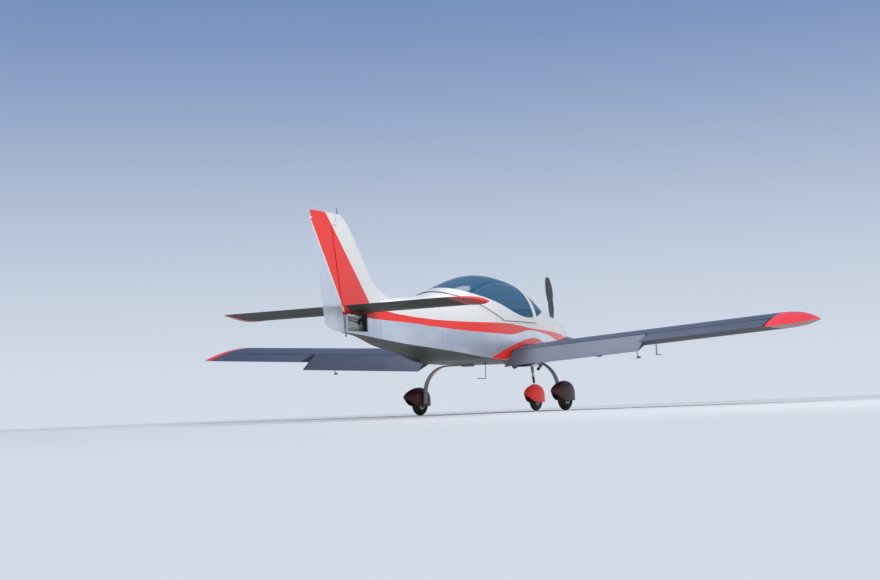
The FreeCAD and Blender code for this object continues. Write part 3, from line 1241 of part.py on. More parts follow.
# Cabin: bench, cushions, panel with its shelf, rear bulkhead and two sticks
floor_z = size("knee_belly") + skin
bench_half = size("bench_half")
bench_shape = common("bench_shape", padded("bench_blank", "XZ_Plane", closed([
    (760, floor_z - 8), (760, floor_z + 112), (734, floor_z + 124), (345, floor_z + 96), (120, 1330),
    (96, 1324),
    (296, floor_z + 70), (296, floor_z - 8)]), 2 * bench_half, -bench_half), cabin_space)
bench_room = padded("bench_room", "XZ_Plane", closed([
    (752, floor_z + 8), (752, floor_z + 106), (732, floor_z + 116), (341, floor_z + 88), (122, 1300),
    (113, 1290),
    (304, floor_z + 70), (304, floor_z + 8)]), 2 * bench_half - 16, 8 - bench_half)
seat_bench = cut("seat_bench", bench_shape, bench_room, trough)
CUSHION = [(734, floor_z + 124.4), (746, floor_z + 150), (720, floor_z + 196), (430, floor_z + 172),
           (405, floor_z + 140), (408, floor_z + 101)]
BACK = [(325.4, floor_z + 148), (385, floor_z + 168), (398, floor_z + 240), (196, 1340), (160, 1352),
        (122.7, 1324.4)]


def soft_pair(name, outline, shift):
    moved = closed([(x + shift, z) for x, z in outline])
    left = padded(name + "_left", "XZ_Plane", moved, "cushion_width", "-cushion_inner - cushion_width")
    return both_sides(name, left)


seat_bases = soft_pair("seat_bases", CUSHION, 0)
seat_backs = soft_pair("seat_backs", BACK, 0)
panel_board = box("panel_board", ("panel_x", -FAR, "panel_low"),
                  ("panel_x + panel_sheet", FAR, "shelf_height + panel_sheet"))
panel_shelf = box("panel_shelf", ("panel_x", -FAR, "shelf_height"),
                  ("firewall_x - firewall_sheet - seat_gap", FAR, "shelf_height + board_sheet"))
instrument_panel = board("instrument_panel", fuse("panel_blank", panel_board, panel_shelf))
cabin_bulkhead = board("cabin_bulkhead", box("bulkhead_board", ("bulkhead_x", -FAR, 0),
                                             ("bulkhead_x + board_sheet", FAR, FAR)))
stick_turn = FreeCAD.Rotation(V(0, 1, 0), -6)


def stick(name, side):
    """A control stick that leans aft, with its grip, seated on the cabin floor."""
    span = side + " * stick_y"
    rod = cylinder(name + "_rod", "stick_radius", 330, ("stick_x", span, floor_z - 4), stick_turn)
    grip = cylinder(name + "_grip", "grip_radius", 105, ("stick_x - 33", span, floor_z + 310), stick_turn)
    return cut(name, fuse(name + "_blank", rod, grip), trough)


control_sticks = doc.addObject("Part::Compound", "control_sticks")
control_sticks.Links = [stick("stick_left", "1"), stick("stick_right", "-1")]
latch_z = size("arch_crown") - 14
latch_handle = fuse("latch_handle", cylinder("latch_post", 9, 90, (arch_x - 60, 0, latch_z - 30), ALONG_Z),
                    box("latch_bar", (arch_x - 128, -11, latch_z - 40), (arch_x - 44, 11, latch_z - 26)))
canopy_latch = common("canopy_latch", latch_handle, canopy_inside)

# Fittings in the open bay: end plate, cables, push rod and the tail's tie-down eye
bay_bulkhead = board("bay_bulkhead", box("bay_board", ("bay_front_x", -FAR, 0),
                                         ("bay_front_x + board_sheet", FAR, FAR)))
cables = []
for side in (-1, 1):
    start = V(size("bay_front_x") - size("seat_gap"), side * 30, 990)
    end = V(size("bay_rear_x") - 14, side * 46, 974)
    cable = cylinder("cable_%s" % ("left" if side > 0 else "right"), "cable_radius", (end - start).Length,
                     (start.x, start.y, start.z), FreeCAD.Rotation(V(0, 0, 1), end - start))
    cables.append(cable)
push_rod = cylinder("push_rod", "push_rod_radius", "bay_front_x - seat_gap - %s" % (torque_x + 60),
                    ("bay_front_x - seat_gap", 0, "push_rod_height"), FreeCAD.Rotation(V(0, 1, 0), -90))
control_cables = doc.addObject("Part::Compound", "control_cables")
control_cables.Links = cables + [push_rod]


def eye(name, x, z, tall, thick):
    """A flat eye with a tie-down bore, its axis across the aeroplane."""
    ring = cylinder(name + "_loop", "2.1 * ring_bore", thick, (x, -thick / 2, z), ALONG_Y)
    stem = box(name + "_stem", (x - 13, -thick / 2, z), (x + 13, thick / 2, z + tall))
    hole = cylinder(name + "_hole", "ring_bore", thick + 10, (x, -thick / 2 - 5, z), ALONG_Y)
    return cut(name + "_eye", fuse(name + "_blank", ring, stem), hole)


tail_ring = cut("tail_ring", eye("tail", -2585, 914, 60, 8), trough_form)

# Tie-down rods under the wings, each with a cross tube at its lower end
ring_y = size("ring_y")
cross_length = size("cross_length")
rod_top, rod_low = V(480, ring_y, 762), V(604, ring_y, 608)
rod_turn = FreeCAD.Rotation(V(0, 0, 1), rod_top - rod_low)
wing_rod = cylinder("wing_rod", "rod_radius", (rod_top - rod_low).Length, tuple(rod_low), rod_turn)
cross_spot = (rod_low.x - 4, ring_y - cross_length / 2, rod_low.z - 4)
cross_tube = cylinder("cross_tube", "ring_bore + 5", "cross_length", cross_spot, ALONG_Y)
cross_bore = cylinder("cross_bore", "ring_bore", "cross_length + 14",
                      (cross_spot[0], cross_spot[1] - 7, cross_spot[2]),
                      ALONG_Y)
wing_rod_out = cut("wing_rod_out", wing_rod, wing_left)
wing_ring_left = cut("wing_ring_left", fuse("wing_ring_blank", wing_rod_out, cross_tube), cross_bore)
wing_rings = both_sides("wing_rings", wing_ring_left)

# Small outside fittings: belly antenna, fin antenna, pitot and wing lamps
whip_low = "knee_belly - whip_drop"
whip_base = cylinder("whip_base", "5 * whip_radius", 14, ("whip_x", 0, "knee_belly - 9"), ALONG_Z)
whip_down = cylinder("whip_down", "whip_radius", "whip_drop - 10", ("whip_x", 0, whip_low), ALONG_Z)
whip_bend = doc.addObject("Part::Sphere", "whip_bend")
bind(whip_bend, Radius="whip_radius")
place(whip_bend, "whip_x", "0", whip_low)
whip_aft = cylinder("whip_aft", "whip_radius", "whip_run", ("whip_x - whip_run", 0, whip_low), ALONG_X)
belly_antenna = cut("belly_antenna", fuse("whip", whip_base, whip_down, whip_bend, whip_aft), trough_form)
fin_whip = cylinder("fin_whip", "whip_radius - 0.5", 100, ("fin_nose_top_x - 130", 0, "fin_top - 30"),
                    ALONG_Z)
fin_whip_foot = cylinder("fin_whip_foot", 9, 22, ("fin_nose_top_x - 130", 0, "fin_top - 12"), ALONG_Z)
fin_antenna = cut("fin_antenna", fuse("fin_whip_blank", fin_whip, fin_whip_foot), fin_form)
pitot_share = (size("wing_nose_x") - size("pitot_x")) / chord
pitot_z = wing_point(pitot_share, 0, -size("pitot_y"))[1] - size("pitot_drop")
pitot_mast = box("pitot_mast", ("pitot_x - 14", "pitot_y - 4", pitot_z),
                 ("pitot_x + 14", "pitot_y + 4", "%s + pitot_drop - 10" % pitot_z))
pitot_tube = cylinder("pitot_tube", 7, 170, ("pitot_x - 20", "pitot_y", pitot_z), ALONG_X)
pitot = cut("pitot", fuse("pitot_blank", pitot_mast, pitot_tube), mirrored("wing_form_right", wing_form))
wing_lamps = both_sides("wing_lamps", tip_lamp_left)
antennas = doc.addObject("Part::Compound", "antennas")
antennas.Links = [belly_antenna, fin_antenna]
tie_down_eyes = doc.addObject("Part::Compound", "tie_down_eyes")
tie_down_eyes.Links = [wing_rings, tail_ring]
bulkheads = doc.addObject("Part::Compound", "bulkheads")
bulkheads.Links = [cabin_bulkhead, bay_bulkhead]
surface_tips = doc.addObject("Part::Compound", "surface_tips")
surface_tips.Links = [wing_tips, tailplane_tips]
wings = doc.addObject("Part::Compound", "wings")
wings.Links = [wing_left, wing_right]

# Each sub-part, under its node name
NODES = {
    "fuselage_lower": fuselage_lower, "turtle_deck": turtle_deck, "scuttle": scuttle, "firewall": firewall,
    "upper_cowl": upper_cowl, "lower_cowl": lower_cowl, "engine_block": engine_block, "exhaust": exhaust,
    "windscreen": windscreen, "canopy_frame": canopy_frame, "canopy_glass": canopy_glass,
    "canopy_latch": canopy_latch, "seat_bench": seat_bench, "seat_bases": seat_bases,
    "seat_backs": seat_backs,
    "instrument_panel": instrument_panel, "control_sticks": control_sticks, "bulkheads": bulkheads,
    "wings": wings, "surface_tips": surface_tips, "flap_left": flap_left, "flap_right": flap_right,
    "aileron_left": aileron_left, "aileron_right": aileron_right, "tailplane": tailplane,
    "elevator": elevator,
    "fin": fin, "rudder": rudder, "tail_light": tail_light, "control_cables": control_cables,
    "main_legs": main_legs, "main_fairings": main_fairings, "tyre_left": tyre_left, "rim_left": rim_left,
    "tyre_right": tyre_right, "rim_right": rim_right, "nose_strut_mount": nose_strut_mount,
    "nose_leg": nose_leg, "nose_fairing": nose_fairing, "nose_tyre": nose_tyre, "nose_rim": nose_rim,
    "spinner": spinner, "propeller_blades": propeller_blades, "antennas": antennas, "pitot": pitot,
    "wing_lamps": wing_lamps, "tie_down_eyes": tie_down_eyes,
}
for node, item in NODES.items():
    item.Label = node
doc.recompute()
for item in doc.Objects:
    if "Invalid" in item.State or "Error" in item.State:
        raise RuntimeError("%s is in the state %s" % (item.Name, item.State))
for node, item in NODES.items():
    shape = item.Shape
    if shape.isNull() or not shape.isValid() or not shape.Solids:
        raise RuntimeError("%s has no valid solid" % node)
    shape.exportStep("parts/%s.step" % node)
print("exported %d sub-parts" % len(NODES))
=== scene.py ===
# %% [markdown]
# # A two-seat microlight aeroplane, dressed for its picture
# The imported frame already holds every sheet, casting and wheel at its real place.
# This file adds what a workshop and a paint booth add: polished and dull sheet metal,
# red and white gloss, tinted glazing, rivets, cushions, dials and soft studio light.
# The first cell clears the scene and loads the frame, and keeps the size it came with.

import json
import math

import bmesh
import bpy
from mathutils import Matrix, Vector

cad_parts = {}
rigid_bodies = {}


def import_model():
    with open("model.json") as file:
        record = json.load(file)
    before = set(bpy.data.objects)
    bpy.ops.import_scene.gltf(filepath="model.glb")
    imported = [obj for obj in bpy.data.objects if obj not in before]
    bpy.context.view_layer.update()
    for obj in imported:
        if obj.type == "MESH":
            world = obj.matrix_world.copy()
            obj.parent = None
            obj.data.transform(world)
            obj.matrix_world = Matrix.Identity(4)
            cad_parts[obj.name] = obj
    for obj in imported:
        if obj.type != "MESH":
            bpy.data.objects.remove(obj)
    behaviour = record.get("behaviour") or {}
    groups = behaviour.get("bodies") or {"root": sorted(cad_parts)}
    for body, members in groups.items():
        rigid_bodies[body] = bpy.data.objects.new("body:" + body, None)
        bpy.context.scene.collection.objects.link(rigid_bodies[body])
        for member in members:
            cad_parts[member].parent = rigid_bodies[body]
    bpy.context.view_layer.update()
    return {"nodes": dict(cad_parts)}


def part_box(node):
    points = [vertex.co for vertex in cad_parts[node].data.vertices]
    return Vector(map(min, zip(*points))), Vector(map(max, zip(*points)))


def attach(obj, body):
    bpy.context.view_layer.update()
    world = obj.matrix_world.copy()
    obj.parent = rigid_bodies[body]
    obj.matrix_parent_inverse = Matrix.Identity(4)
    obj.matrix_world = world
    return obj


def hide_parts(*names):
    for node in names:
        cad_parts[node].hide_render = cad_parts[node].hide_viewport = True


for stray in list(bpy.data.objects):
    bpy.data.objects.remove(stray)
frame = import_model()

# %% [markdown]
# ## Writing a finish as plain sums
# A finish on an aircraft is mostly masks: where the red stripe runs, where a seam sits,
# where a hand has polished. Wire wraps one socket of a material's tree, so a mask is
# written as arithmetic and each operator adds its own Math node.

# %% A socket that can be added and multiplied
class Wire:
    """One socket of a material's tree. A sum written with it adds the Math nodes."""

    def __init__(self, socket):
        self.socket = socket

    def node(self, kind, settings=None, inputs=None, output=0):
        """Adds a node: first its settings, then the values or links of its sockets."""
        made = self.socket.id_data.nodes.new(kind)
        for name, value in (settings or {}).items():
            if name == "stops":
                ends = made.color_ramp.elements
                ends[0].position, ends[0].color = value[0]
                ends[1].position, ends[1].color = value[-1]
                for place, colour in value[1:-1]:
                    ends.new(place).color = colour
            elif name == "blend":
                made.color_ramp.interpolation = value
            else:
                setattr(made, name, value)
        for name, value in (inputs or {}).items():
            if isinstance(value, Wire):
                made.id_data.links.new(value.socket, made.inputs[name])
            else:
                made.inputs[name].default_value = value
        return Wire(made.outputs[output])

    def outputs(self, *names):
        """Outputs of the node that this socket belongs to."""
        return [Wire(self.socket.node.outputs[name]) for name in names]

    def math(self, operation, *values):
        return self.node("ShaderNodeMath", {"operation": operation}, dict(enumerate(values)))

    def vector(self, operation, other):
        return self.node("ShaderNodeVectorMath", {"operation": operation}, {0: self, 1: other})

    def parts(self):
        """The x, y and z of a vector."""
        return self.node("ShaderNodeSeparateXYZ", None, {0: self}).outputs(0, 1, 2)

    def __add__(self, other): return self.math("ADD", self, other)
    def __sub__(self, other): return self.math("SUBTRACT", self, other)
    def __rsub__(self, other): return self.math("SUBTRACT", other, self)
    def __mul__(self, other): return self.math("MULTIPLY", self, other)
    def __truediv__(self, other): return self.math("DIVIDE", self, other)
    def __pow__(self, other): return self.math("POWER", self, other)
    def __abs__(self): return self.math("ABSOLUTE", self)
    __radd__ = __add__
    __rmul__ = __mul__

    def or_(self, other): return self.math("MAXIMUM", self, other)
    def sine(self): return self.math("SINE", self)

    def over(self, edge, soft=0.002):
        """1 where the value is above the edge, with a soft step."""
        return self.node("ShaderNodeMapRange", {"interpolation_type": "SMOOTHSTEP"},
                         {"Value": self, "From Min": edge - soft, "From Max": edge + soft})

    def near(self, place, half, soft=0.001):
        """1 where the value is within half of the place."""
        return 1 - abs(self - place).over(half, soft)

    def every(self, pitch, start=0.0):
        """Distance to the nearest of a row of places, one pitch apart."""
        share = (self - start) / pitch
        return share.math("PINGPONG", share, 0.5) * pitch

    def tint(self, low, high):
        """The colour low where this mask is 0, and high where it is 1."""
        return self.node("ShaderNodeMix", {"data_type": "RGBA"}, {0: self, 6: low, 7: high}, 2)

# %% [markdown]
# ## One way to start every finish
# Each material here is one Principled shader that reads Object coordinates. A frame node
# sits at the origin, so those are the aircraft's own metres and a stripe can cross from
# one sheet to the next without a break.

# %% Material helpers
def rgb(red, green, blue):
    return (red, green, blue, 1.0)


class Finish:
    """A material with its shader, and its surface point as the Wires x, y and z."""

    def __init__(self, name, **plain):
        self.material = bpy.data.materials.new(name)
        self.material.use_nodes = True
        tree = self.material.node_tree
        self.shader = tree.nodes["Principled BSDF"]
        place = tree.nodes.new("ShaderNodeTexCoord").outputs
        self.point, self.normal = Wire(place["Object"]), Wire(place["Normal"])
        self.x, self.y, self.z = self.point.parts()
        self.put(**plain)

    def underneath(self, edge=-0.84, soft=0.08):
        """1 where the surface faces the ground."""
        return 1 - self.normal.parts()[2].over(edge, soft)

    def turned_in(self, middle):
        """1 on the inner side of a shell, whose normals point at a middle point."""
        from_middle = self.point.vector("SUBTRACT", middle)
        _, across, up = self.normal.vector("MULTIPLY", from_middle).parts()
        return 1 - (across + up).over(0.0, 0.01)

    def put(self, **sockets):
        for name, value in sockets.items():
            socket = self.shader.inputs[name.replace("_", " ")]
            if isinstance(value, Wire):
                self.material.node_tree.links.new(value.socket, socket)
            else:
                socket.default_value = value
        return self

    def cloud(self, scale, detail=2.0, stretch=(1, 1, 1)):
        """Soft noise from 0 to 1, stretched along an axis where the sheet was rolled."""
        place = self.point.vector("MULTIPLY", stretch)
        return place.node("ShaderNodeTexNoise", None,
                          {"Vector": place, "Scale": scale, "Detail": detail})

    def relief(self, height, depth):
        """Bends the light by a height from 0 to 1 that stands for depth metres."""
        bump = {"Height": height, "Distance": depth, "Strength": 1.0}
        return self.put(Normal=height.node("ShaderNodeBump", None, bump))

    def wear_on(self, *nodes):
        for node in nodes:
            for slot in frame["nodes"][node].material_slots:
                slot.material = self.material
        print(self.material.name, "on", *nodes)


def curve(x, points):
    """A smooth height that follows (x, height) points, read from a ramp."""
    first, last = points[0][0], points[-1][0]
    low, high = min(p[1] for p in points), max(p[1] for p in points)
    share = (x - first) / (last - first)
    stops = [((px - first) / (last - first), rgb(*[(pz - low) / (high - low)] * 3))
             for px, pz in points]
    return share.node("ShaderNodeValToRGB", {"stops": stops, "blend": "CARDINAL"},
                      {0: share}) * (high - low) + low


WHITE = rgb(0.84, 0.84, 0.83)
RED = rgb(0.93, 0.036, 0.024)
# Bare metal tones, partly painted reflection: a bright grey and a dim bluish grey.
POLISHED_WITH_BRIGHT_REFLECTION = rgb(0.93, 0.95, 0.98)
BRUSHED_WITH_DIM_REFLECTION = rgb(0.72, 0.78, 0.89)
SHADED_METAL = rgb(0.034, 0.033, 0.017)
SEAM = rgb(0.16, 0.16, 0.17)

# %% [markdown]
# ## The red stripe, the white top and the bare metal below
# On the real aircraft the stripe is sprayed over masking tape: it grows out of the fin,
# runs along the sill, swells under the cockpit, pinches in at the arch and falls away
# down the cowl. A second flash rises from the belly's corner and dives under the wing.
# Both edges are curves of height over length, so the same masks serve every sheet.

# %% The paint scheme as masks over x and z
STRIPE_TOP = [(-2.62, 1.62), (-2.40, 1.48), (-2.16, 1.309), (-2.00, 1.218), (-1.85, 1.176),
              (-1.60, 1.148), (-1.20, 1.122), (-0.55, 1.106), (0.15, 1.108), (0.52, 1.098),
              (0.94, 1.070), (1.46, 1.059), (1.92, 1.052), (2.42, 1.028), (2.80, 0.985),
              (2.98, 0.950)]
STRIPE_LOW = [(-2.62, 1.135), (-2.17, 1.104), (-1.39, 1.056), (-0.97, 1.026), (-0.55, 0.999),
              (-0.20, 0.983), (0.15, 0.975), (0.42, 0.972), (0.62, 0.995), (0.80, 1.026),
              (1.05, 1.041), (1.39, 1.025), (1.64, 1.003), (1.92, 0.976), (2.42, 0.905),
              (2.98, 0.790)]
FLASH_TOP = [(-0.10, 0.672), (0.00, 0.706), (0.16, 0.755), (0.33, 0.805), (0.55, 0.858),
             (0.77, 0.906), (0.97, 0.934), (1.11, 0.944), (1.26, 0.940), (1.42, 0.900),
             (1.60, 0.830)]
FLASH_LOW = [(-0.10, 0.672), (0.12, 0.660), (0.32, 0.668), (0.57, 0.752), (0.90, 0.830),
             (1.34, 0.890), (1.60, 0.830)]
WHITE_NOSE = [(1.30, 1.050), (1.42, 1.018), (1.58, 0.979), (1.71, 0.951), (1.86, 0.890),
              (1.95, 0.780)]


def scheme(finish, soft=0.0015):
    """Masks of red paint and of any paint, for the fuselage's sheets and cowls."""
    x, z = finish.x, finish.z
    below_top = (curve(x, STRIPE_TOP) - z).over(0, soft)
    above_low = (z - curve(x, STRIPE_LOW)).over(0, soft)
    flash = (curve(x, FLASH_TOP) - z).over(0, soft) * (z - curve(x, FLASH_LOW)).over(0, soft)
    nose = (z - curve(x, WHITE_NOSE)).over(0, soft) * x.over(1.32, soft)
    red = (below_top * above_low).or_(flash * x.near(0.75, 0.85, soft))
    return red, above_low.or_(nose).or_(red)


print("stripe from x", STRIPE_LOW[0][0], "to", STRIPE_LOW[-1][0])

# %% [markdown]
# ## Sheet aluminium and gloss paint on one fuselage
# Thin sheet riveted to frames isn't flat: it pillows a little between the rows, which is
# what breaks up its reflections. Painted places are smoother and duller underneath a
# clear coat. One material blends the two by the paint mask, so their edge is a real edge.
# The bare tone wanders in patches, partly polish and partly painted reflection, and the
# hull's dark inner side is painted shade. Rivet heads wear the same finish without that
# painted inner shade, as they face every way.
# The belly is sheet like the flanks. Its much darker colour stands for the photograph's
# shade, which a pale floor would wash out, so it looks too dark under other light.

# %% Fuselage sheets
FRAME_STATIONS = 0.35
STRINGERS = 0.24
HULL_MIDDLE = (0.0, 0.0, 1.10)


def pillow(finish, pitch_x, pitch_z):
    """Height of sheet between its rows of rivets, with the uneven pull of each row."""
    across = (finish.x * (math.pi / pitch_x)).sine()
    up = (finish.z * (math.pi / pitch_z)).sine()
    return across * across * up * up * 0.5 + finish.cloud(2.3, 1.0, (1, 1, 2.2)) * 0.8


def fuselage_sheet(name, pillowed_and_shaded_inside):
    """Bare and painted sheet by the scheme. A pillowed one also has painted shade inside."""
    made = Finish(name, Coat_Roughness=0.04, Coat_IOR=1.5)
    red_mask, paint_mask = scheme(made)
    seams = made.x.every(3 * FRAME_STATIONS, 0.05).over(0.0012, 0.0008)
    brushed = made.cloud(34, 2.0, (0.10, 1, 1))
    patches = made.cloud(3.2, 1.0, (0.8, 1, 1.6)).over(0.5, 0.22)
    belly = made.underneath()
    # The bare tone wanders in patches between them: partly polish, partly painted reflection.
    metal = (brushed * 0.4 + patches * 0.6).tint(BRUSHED_WITH_DIM_REFLECTION, POLISHED_WITH_BRIGHT_REFLECTION)
    metal = belly.tint(metal, SHADED_METAL)
    colour = seams.tint(SEAM, paint_mask.tint(metal, red_mask.tint(WHITE, RED)))
    outer = 1.0
    if pillowed_and_shaded_inside:
        # Painted shade: the hull's inner side is dark.
        inner = made.turned_in(HULL_MIDDLE)
        outer = 1 - inner
        colour = inner.tint(colour, rgb(0.050, 0.052, 0.050))
        waves = pillow(made, FRAME_STATIONS, STRINGERS) * (1 - paint_mask * 0.6)
        made.relief(waves + seams * 0.4, 0.0022)
    made.put(Base_Color=colour, Metallic=(1 - paint_mask) * outer * (0.72 - belly * 0.2),
             Roughness=paint_mask * 0.02 + 0.26 + brushed * 0.06 + belly * 0.12 + (1 - outer) * 0.2,
             Coat_Weight=paint_mask * outer * 0.4)
    return made


fuselage_sheet("painted_sheet", pillowed_and_shaded_inside=True).wear_on("fuselage_lower", "turtle_deck", "scuttle")
sheet_heads = fuselage_sheet("painted_heads", pillowed_and_shaded_inside=False)

# %% Cowls: the same scheme on smooth mouldings, with no bare metal
cowl = Finish("painted_moulding", Coat_Roughness=0.03, Coat_IOR=1.5, Coat_Weight=0.4)
red_mask, paint_mask = scheme(cowl)
# The cowls get darker in blotches towards the bottom.
low_blotchy_darkening = (1 - cowl.z.over(0.72, 0.10)) * cowl.cloud(7, 4.0) * 0.35
cowl.put(Base_Color=low_blotchy_darkening.tint(red_mask.tint(WHITE, RED), rgb(0.33, 0.31, 0.28)),
         Roughness=cowl.cloud(40, 2.0) * 0.10 + 0.20)
cowl.relief(cowl.cloud(160, 2.0), 0.0002)
cowl.wear_on("upper_cowl", "lower_cowl")

# %% [markdown]
# ## Fin and rudder
# The red band leans forward as it comes down the fin, and the rudder behind it is left
# bare with a thin white line between. The band's two edges are straight, so each mask is
# one straight line in x and z.

# %% Fin band
BAND_FRONT = (-2.940, 2.213), (-2.159, 1.309)
BAND_REAR = (-3.190, 2.094), (-2.666, 1.212)
WHITE_LINE = 0.020
HORN_JOINT = 1.205


def ahead_of(finish, top, bottom):
    """How far a point lies ahead of the line through two (x, z) points."""
    slope = (top[0] - bottom[0]) / (top[1] - bottom[1])
    return finish.x - finish.z * slope - (bottom[0] - bottom[1] * slope)


fin_paint = Finish("fin_paint", Coat_Roughness=0.04, Coat_IOR=1.5)
rear = ahead_of(fin_paint, *BAND_REAR)
bare = 1 - rear.over(-WHITE_LINE, 0.002)
band = (1 - ahead_of(fin_paint, *BAND_FRONT).over(0, 0.002)) * rear.over(0, 0.002)
rolled = fin_paint.cloud(90, 3.0, (1, 1, 0.06))
# The rudder's bare sheet gets the same partly painted reflection as the flanks.
colour = bare.tint(band.tint(WHITE, RED), rolled.tint(BRUSHED_WITH_DIM_REFLECTION, POLISHED_WITH_BRIGHT_REFLECTION))
joint_line = fin_paint.z.near(HORN_JOINT, 0.0015)
fin_paint.put(Base_Color=(joint_line * bare).tint(colour, SEAM),
              Metallic=bare * 0.72, Roughness=0.24 + rolled * 0.12,
              Coat_Weight=(1 - bare) * 0.4)
fin_paint.relief(fin_paint.cloud(3.0, 1.0) * 0.8 + rolled * 0.02, 0.0012)
fin_paint.wear_on("fin", "rudder")

# %% [markdown]
# ## Wings, flaps and tail surfaces in dull bare sheet
# In the photograph these skins read as matt and dark next to the polished flanks. Their
# colour here is painted shade and painted reflection, darker and bluer than bare sheet
# really is, and darker still below as more painted shade. The sheet dips a little
# between the ribs, and its rolling lines run along the span.

# %% Flying surfaces
WING_RIBS = 0.33
TAIL_RIBS = 0.30


def rib_sheet(name, pitch, light, dark, below):
    """Dull sheet over ribs one pitch apart in y, rolled along the span."""
    skin = Finish(name, Specular_IOR_Level=0.25)
    under = skin.underneath()
    rolled = skin.cloud(80, 3.0, (1, 0.05, 1))
    dip = (skin.y * (math.pi / pitch)).sine()
    lap = skin.y.every(4 * pitch).over(0.0012, 0.0008)
    patches = skin.cloud(1.6, 2.0)
    # Painted shade and reflection: dark bluish tones, and a painted shade colour below.
    tone = under.tint((rolled * 0.5 + patches * 0.5).tint(dark, light), below)
    skin.put(Base_Color=lap.tint(rgb(0.05, 0.05, 0.055), tone), Metallic=0.60 - under * 0.25,
             Roughness=rolled * 0.12 + patches * 0.10 + under * 0.10 + 0.30)
    return skin.relief(dip * dip * 0.5 + skin.cloud(3.0, 1.0) * 0.5 + lap * 0.3, 0.0016)


wing_skin = rib_sheet("wing_sheet", WING_RIBS, rgb(0.125, 0.138, 0.180), rgb(0.085, 0.095, 0.128),
                       rgb(0.035, 0.035, 0.030))
wing_skin.wear_on("wings", "flap_left", "flap_right", "aileron_left", "aileron_right")
tail_skin = rib_sheet("tail_sheet", TAIL_RIBS, rgb(0.18, 0.19, 0.22), rgb(0.12, 0.13, 0.15),
                       rgb(0.026, 0.027, 0.011))
tail_skin.wear_on("tailplane", "elevator")

# %% [markdown]
# ## Red mouldings, white canopy shell and its painted inner shade
# Tips, fairings and spinner are gloss mouldings with a faint orange peel. Their darker
# undersides stand for shade. So does the deep red of the main fairings, which are most
# likely painted like the nose fairing. The canopy shell is white outside, and painted
# shade makes it dark inside, where its normal points at the middle line. The panes are
# thin and hardly bend the light, so their tint is a colour at half alpha.

# %% Mouldings
def moulding(name, deep, bright, shaded):
    """A gloss moulding, with dust thrown up on it near the ground."""
    gloss = Finish(name, Coat_Weight=0.05, Coat_Roughness=0.03, Coat_IOR=1.5,
                   Specular_IOR_Level=0.15)
    dust = (1 - gloss.z.over(0.22, 0.10)) * gloss.cloud(9, 4.0) * 0.15
    tone = gloss.underneath(-0.55, 0.40).tint(gloss.cloud(5, 2.0).tint(deep, bright), shaded)
    gloss.put(Base_Color=dust.tint(tone, rgb(0.20, 0.11, 0.09)),
              Roughness=gloss.cloud(60, 2.0) * 0.12 + 0.20 + dust * 0.4)
    return gloss.relief(gloss.cloud(220, 1.0), 0.00015)


moulding("red_moulding", rgb(0.88, 0.030, 0.018), RED, rgb(0.34, 0.014, 0.010)).wear_on(
    "surface_tips", "nose_fairing", "spinner")
# Painted shade: the main fairings are dark red all over, for the wing's shadow.
moulding("deep_red_moulding", rgb(0.095, 0.018, 0.024), rgb(0.130, 0.022, 0.028),
         rgb(0.06, 0.012, 0.014)).wear_on("main_fairings")

CABIN_MIDDLE = (0.4, 0.0, 1.0)
shell = Finish("canopy_shell", Coat_Roughness=0.04, Coat_IOR=1.5)
inside = shell.turned_in(CABIN_MIDDLE)
# Painted shade: the shell's inner side is dark.
shell.put(Base_Color=inside.tint(WHITE, rgb(0.045, 0.046, 0.05)),
          Roughness=inside * 0.35 + 0.2, Coat_Weight=(1 - inside) * 0.4)
shell.relief(shell.cloud(200, 1.0), 0.00015)
shell.wear_on("canopy_frame")

# %% Tinted acrylic
glazing = Finish("tinted_acrylic", IOR=1.49, Roughness=0.02)
glazing.put(Base_Color=rgb(0.030, 0.145, 0.270),
            Alpha=glazing.cloud(1.2, 1.0) * 0.06 + 0.50)
glazing.wear_on("canopy_glass", "windscreen")

# %% [markdown]
# ## Legs, wheels and the small metal
# The gear legs are grey paint over spring steel, worn bright where stones hit. The nose
# strut shows its parts by height: a grey sleeve, then chrome with a black rubber boot in
# its middle. Tyres have ribs round the tread, cut by distance from the middle. The small
# parts share two recipes, one for cast or drawn metal and one for grained plastic.

# %% Gear
leg = Finish("leg_paint", Metallic=0.3, Coat_Weight=0.3)
chips = leg.cloud(55, 5.0).over(0.68, 0.02)
grey = leg.cloud(6, 2.0).tint(rgb(0.30, 0.285, 0.26), rgb(0.40, 0.38, 0.35))
leg.put(Base_Color=chips.tint(grey, rgb(0.58, 0.56, 0.53)), Roughness=0.42 - chips * 0.15)
leg.relief(leg.cloud(70, 2.0), 0.0003).wear_on("main_legs", "nose_strut_mount")

strut = Finish("strut_parts")
BOOT_HEIGHT = 0.424
boot = strut.z.near(BOOT_HEIGHT, 0.040, 0.002) * strut.x.near(2.28, 0.10, 0.01)
slide = strut.z.near(BOOT_HEIGHT, 0.105, 0.002) * (1 - boot)
strut.put(Base_Color=boot.tint(slide.tint(rgb(0.36, 0.37, 0.39), rgb(0.90, 0.90, 0.91)),
                               rgb(0.018, 0.018, 0.02)),
          Metallic=slide, Roughness=0.40 - slide * 0.32 + boot * 0.25)
strut.relief((strut.z * 520).sine() * boot + strut.cloud(60, 2.0) * 0.2, 0.0012)
strut.wear_on("nose_leg")

# %% Tyres
RIB_WIDTH = 0.0085


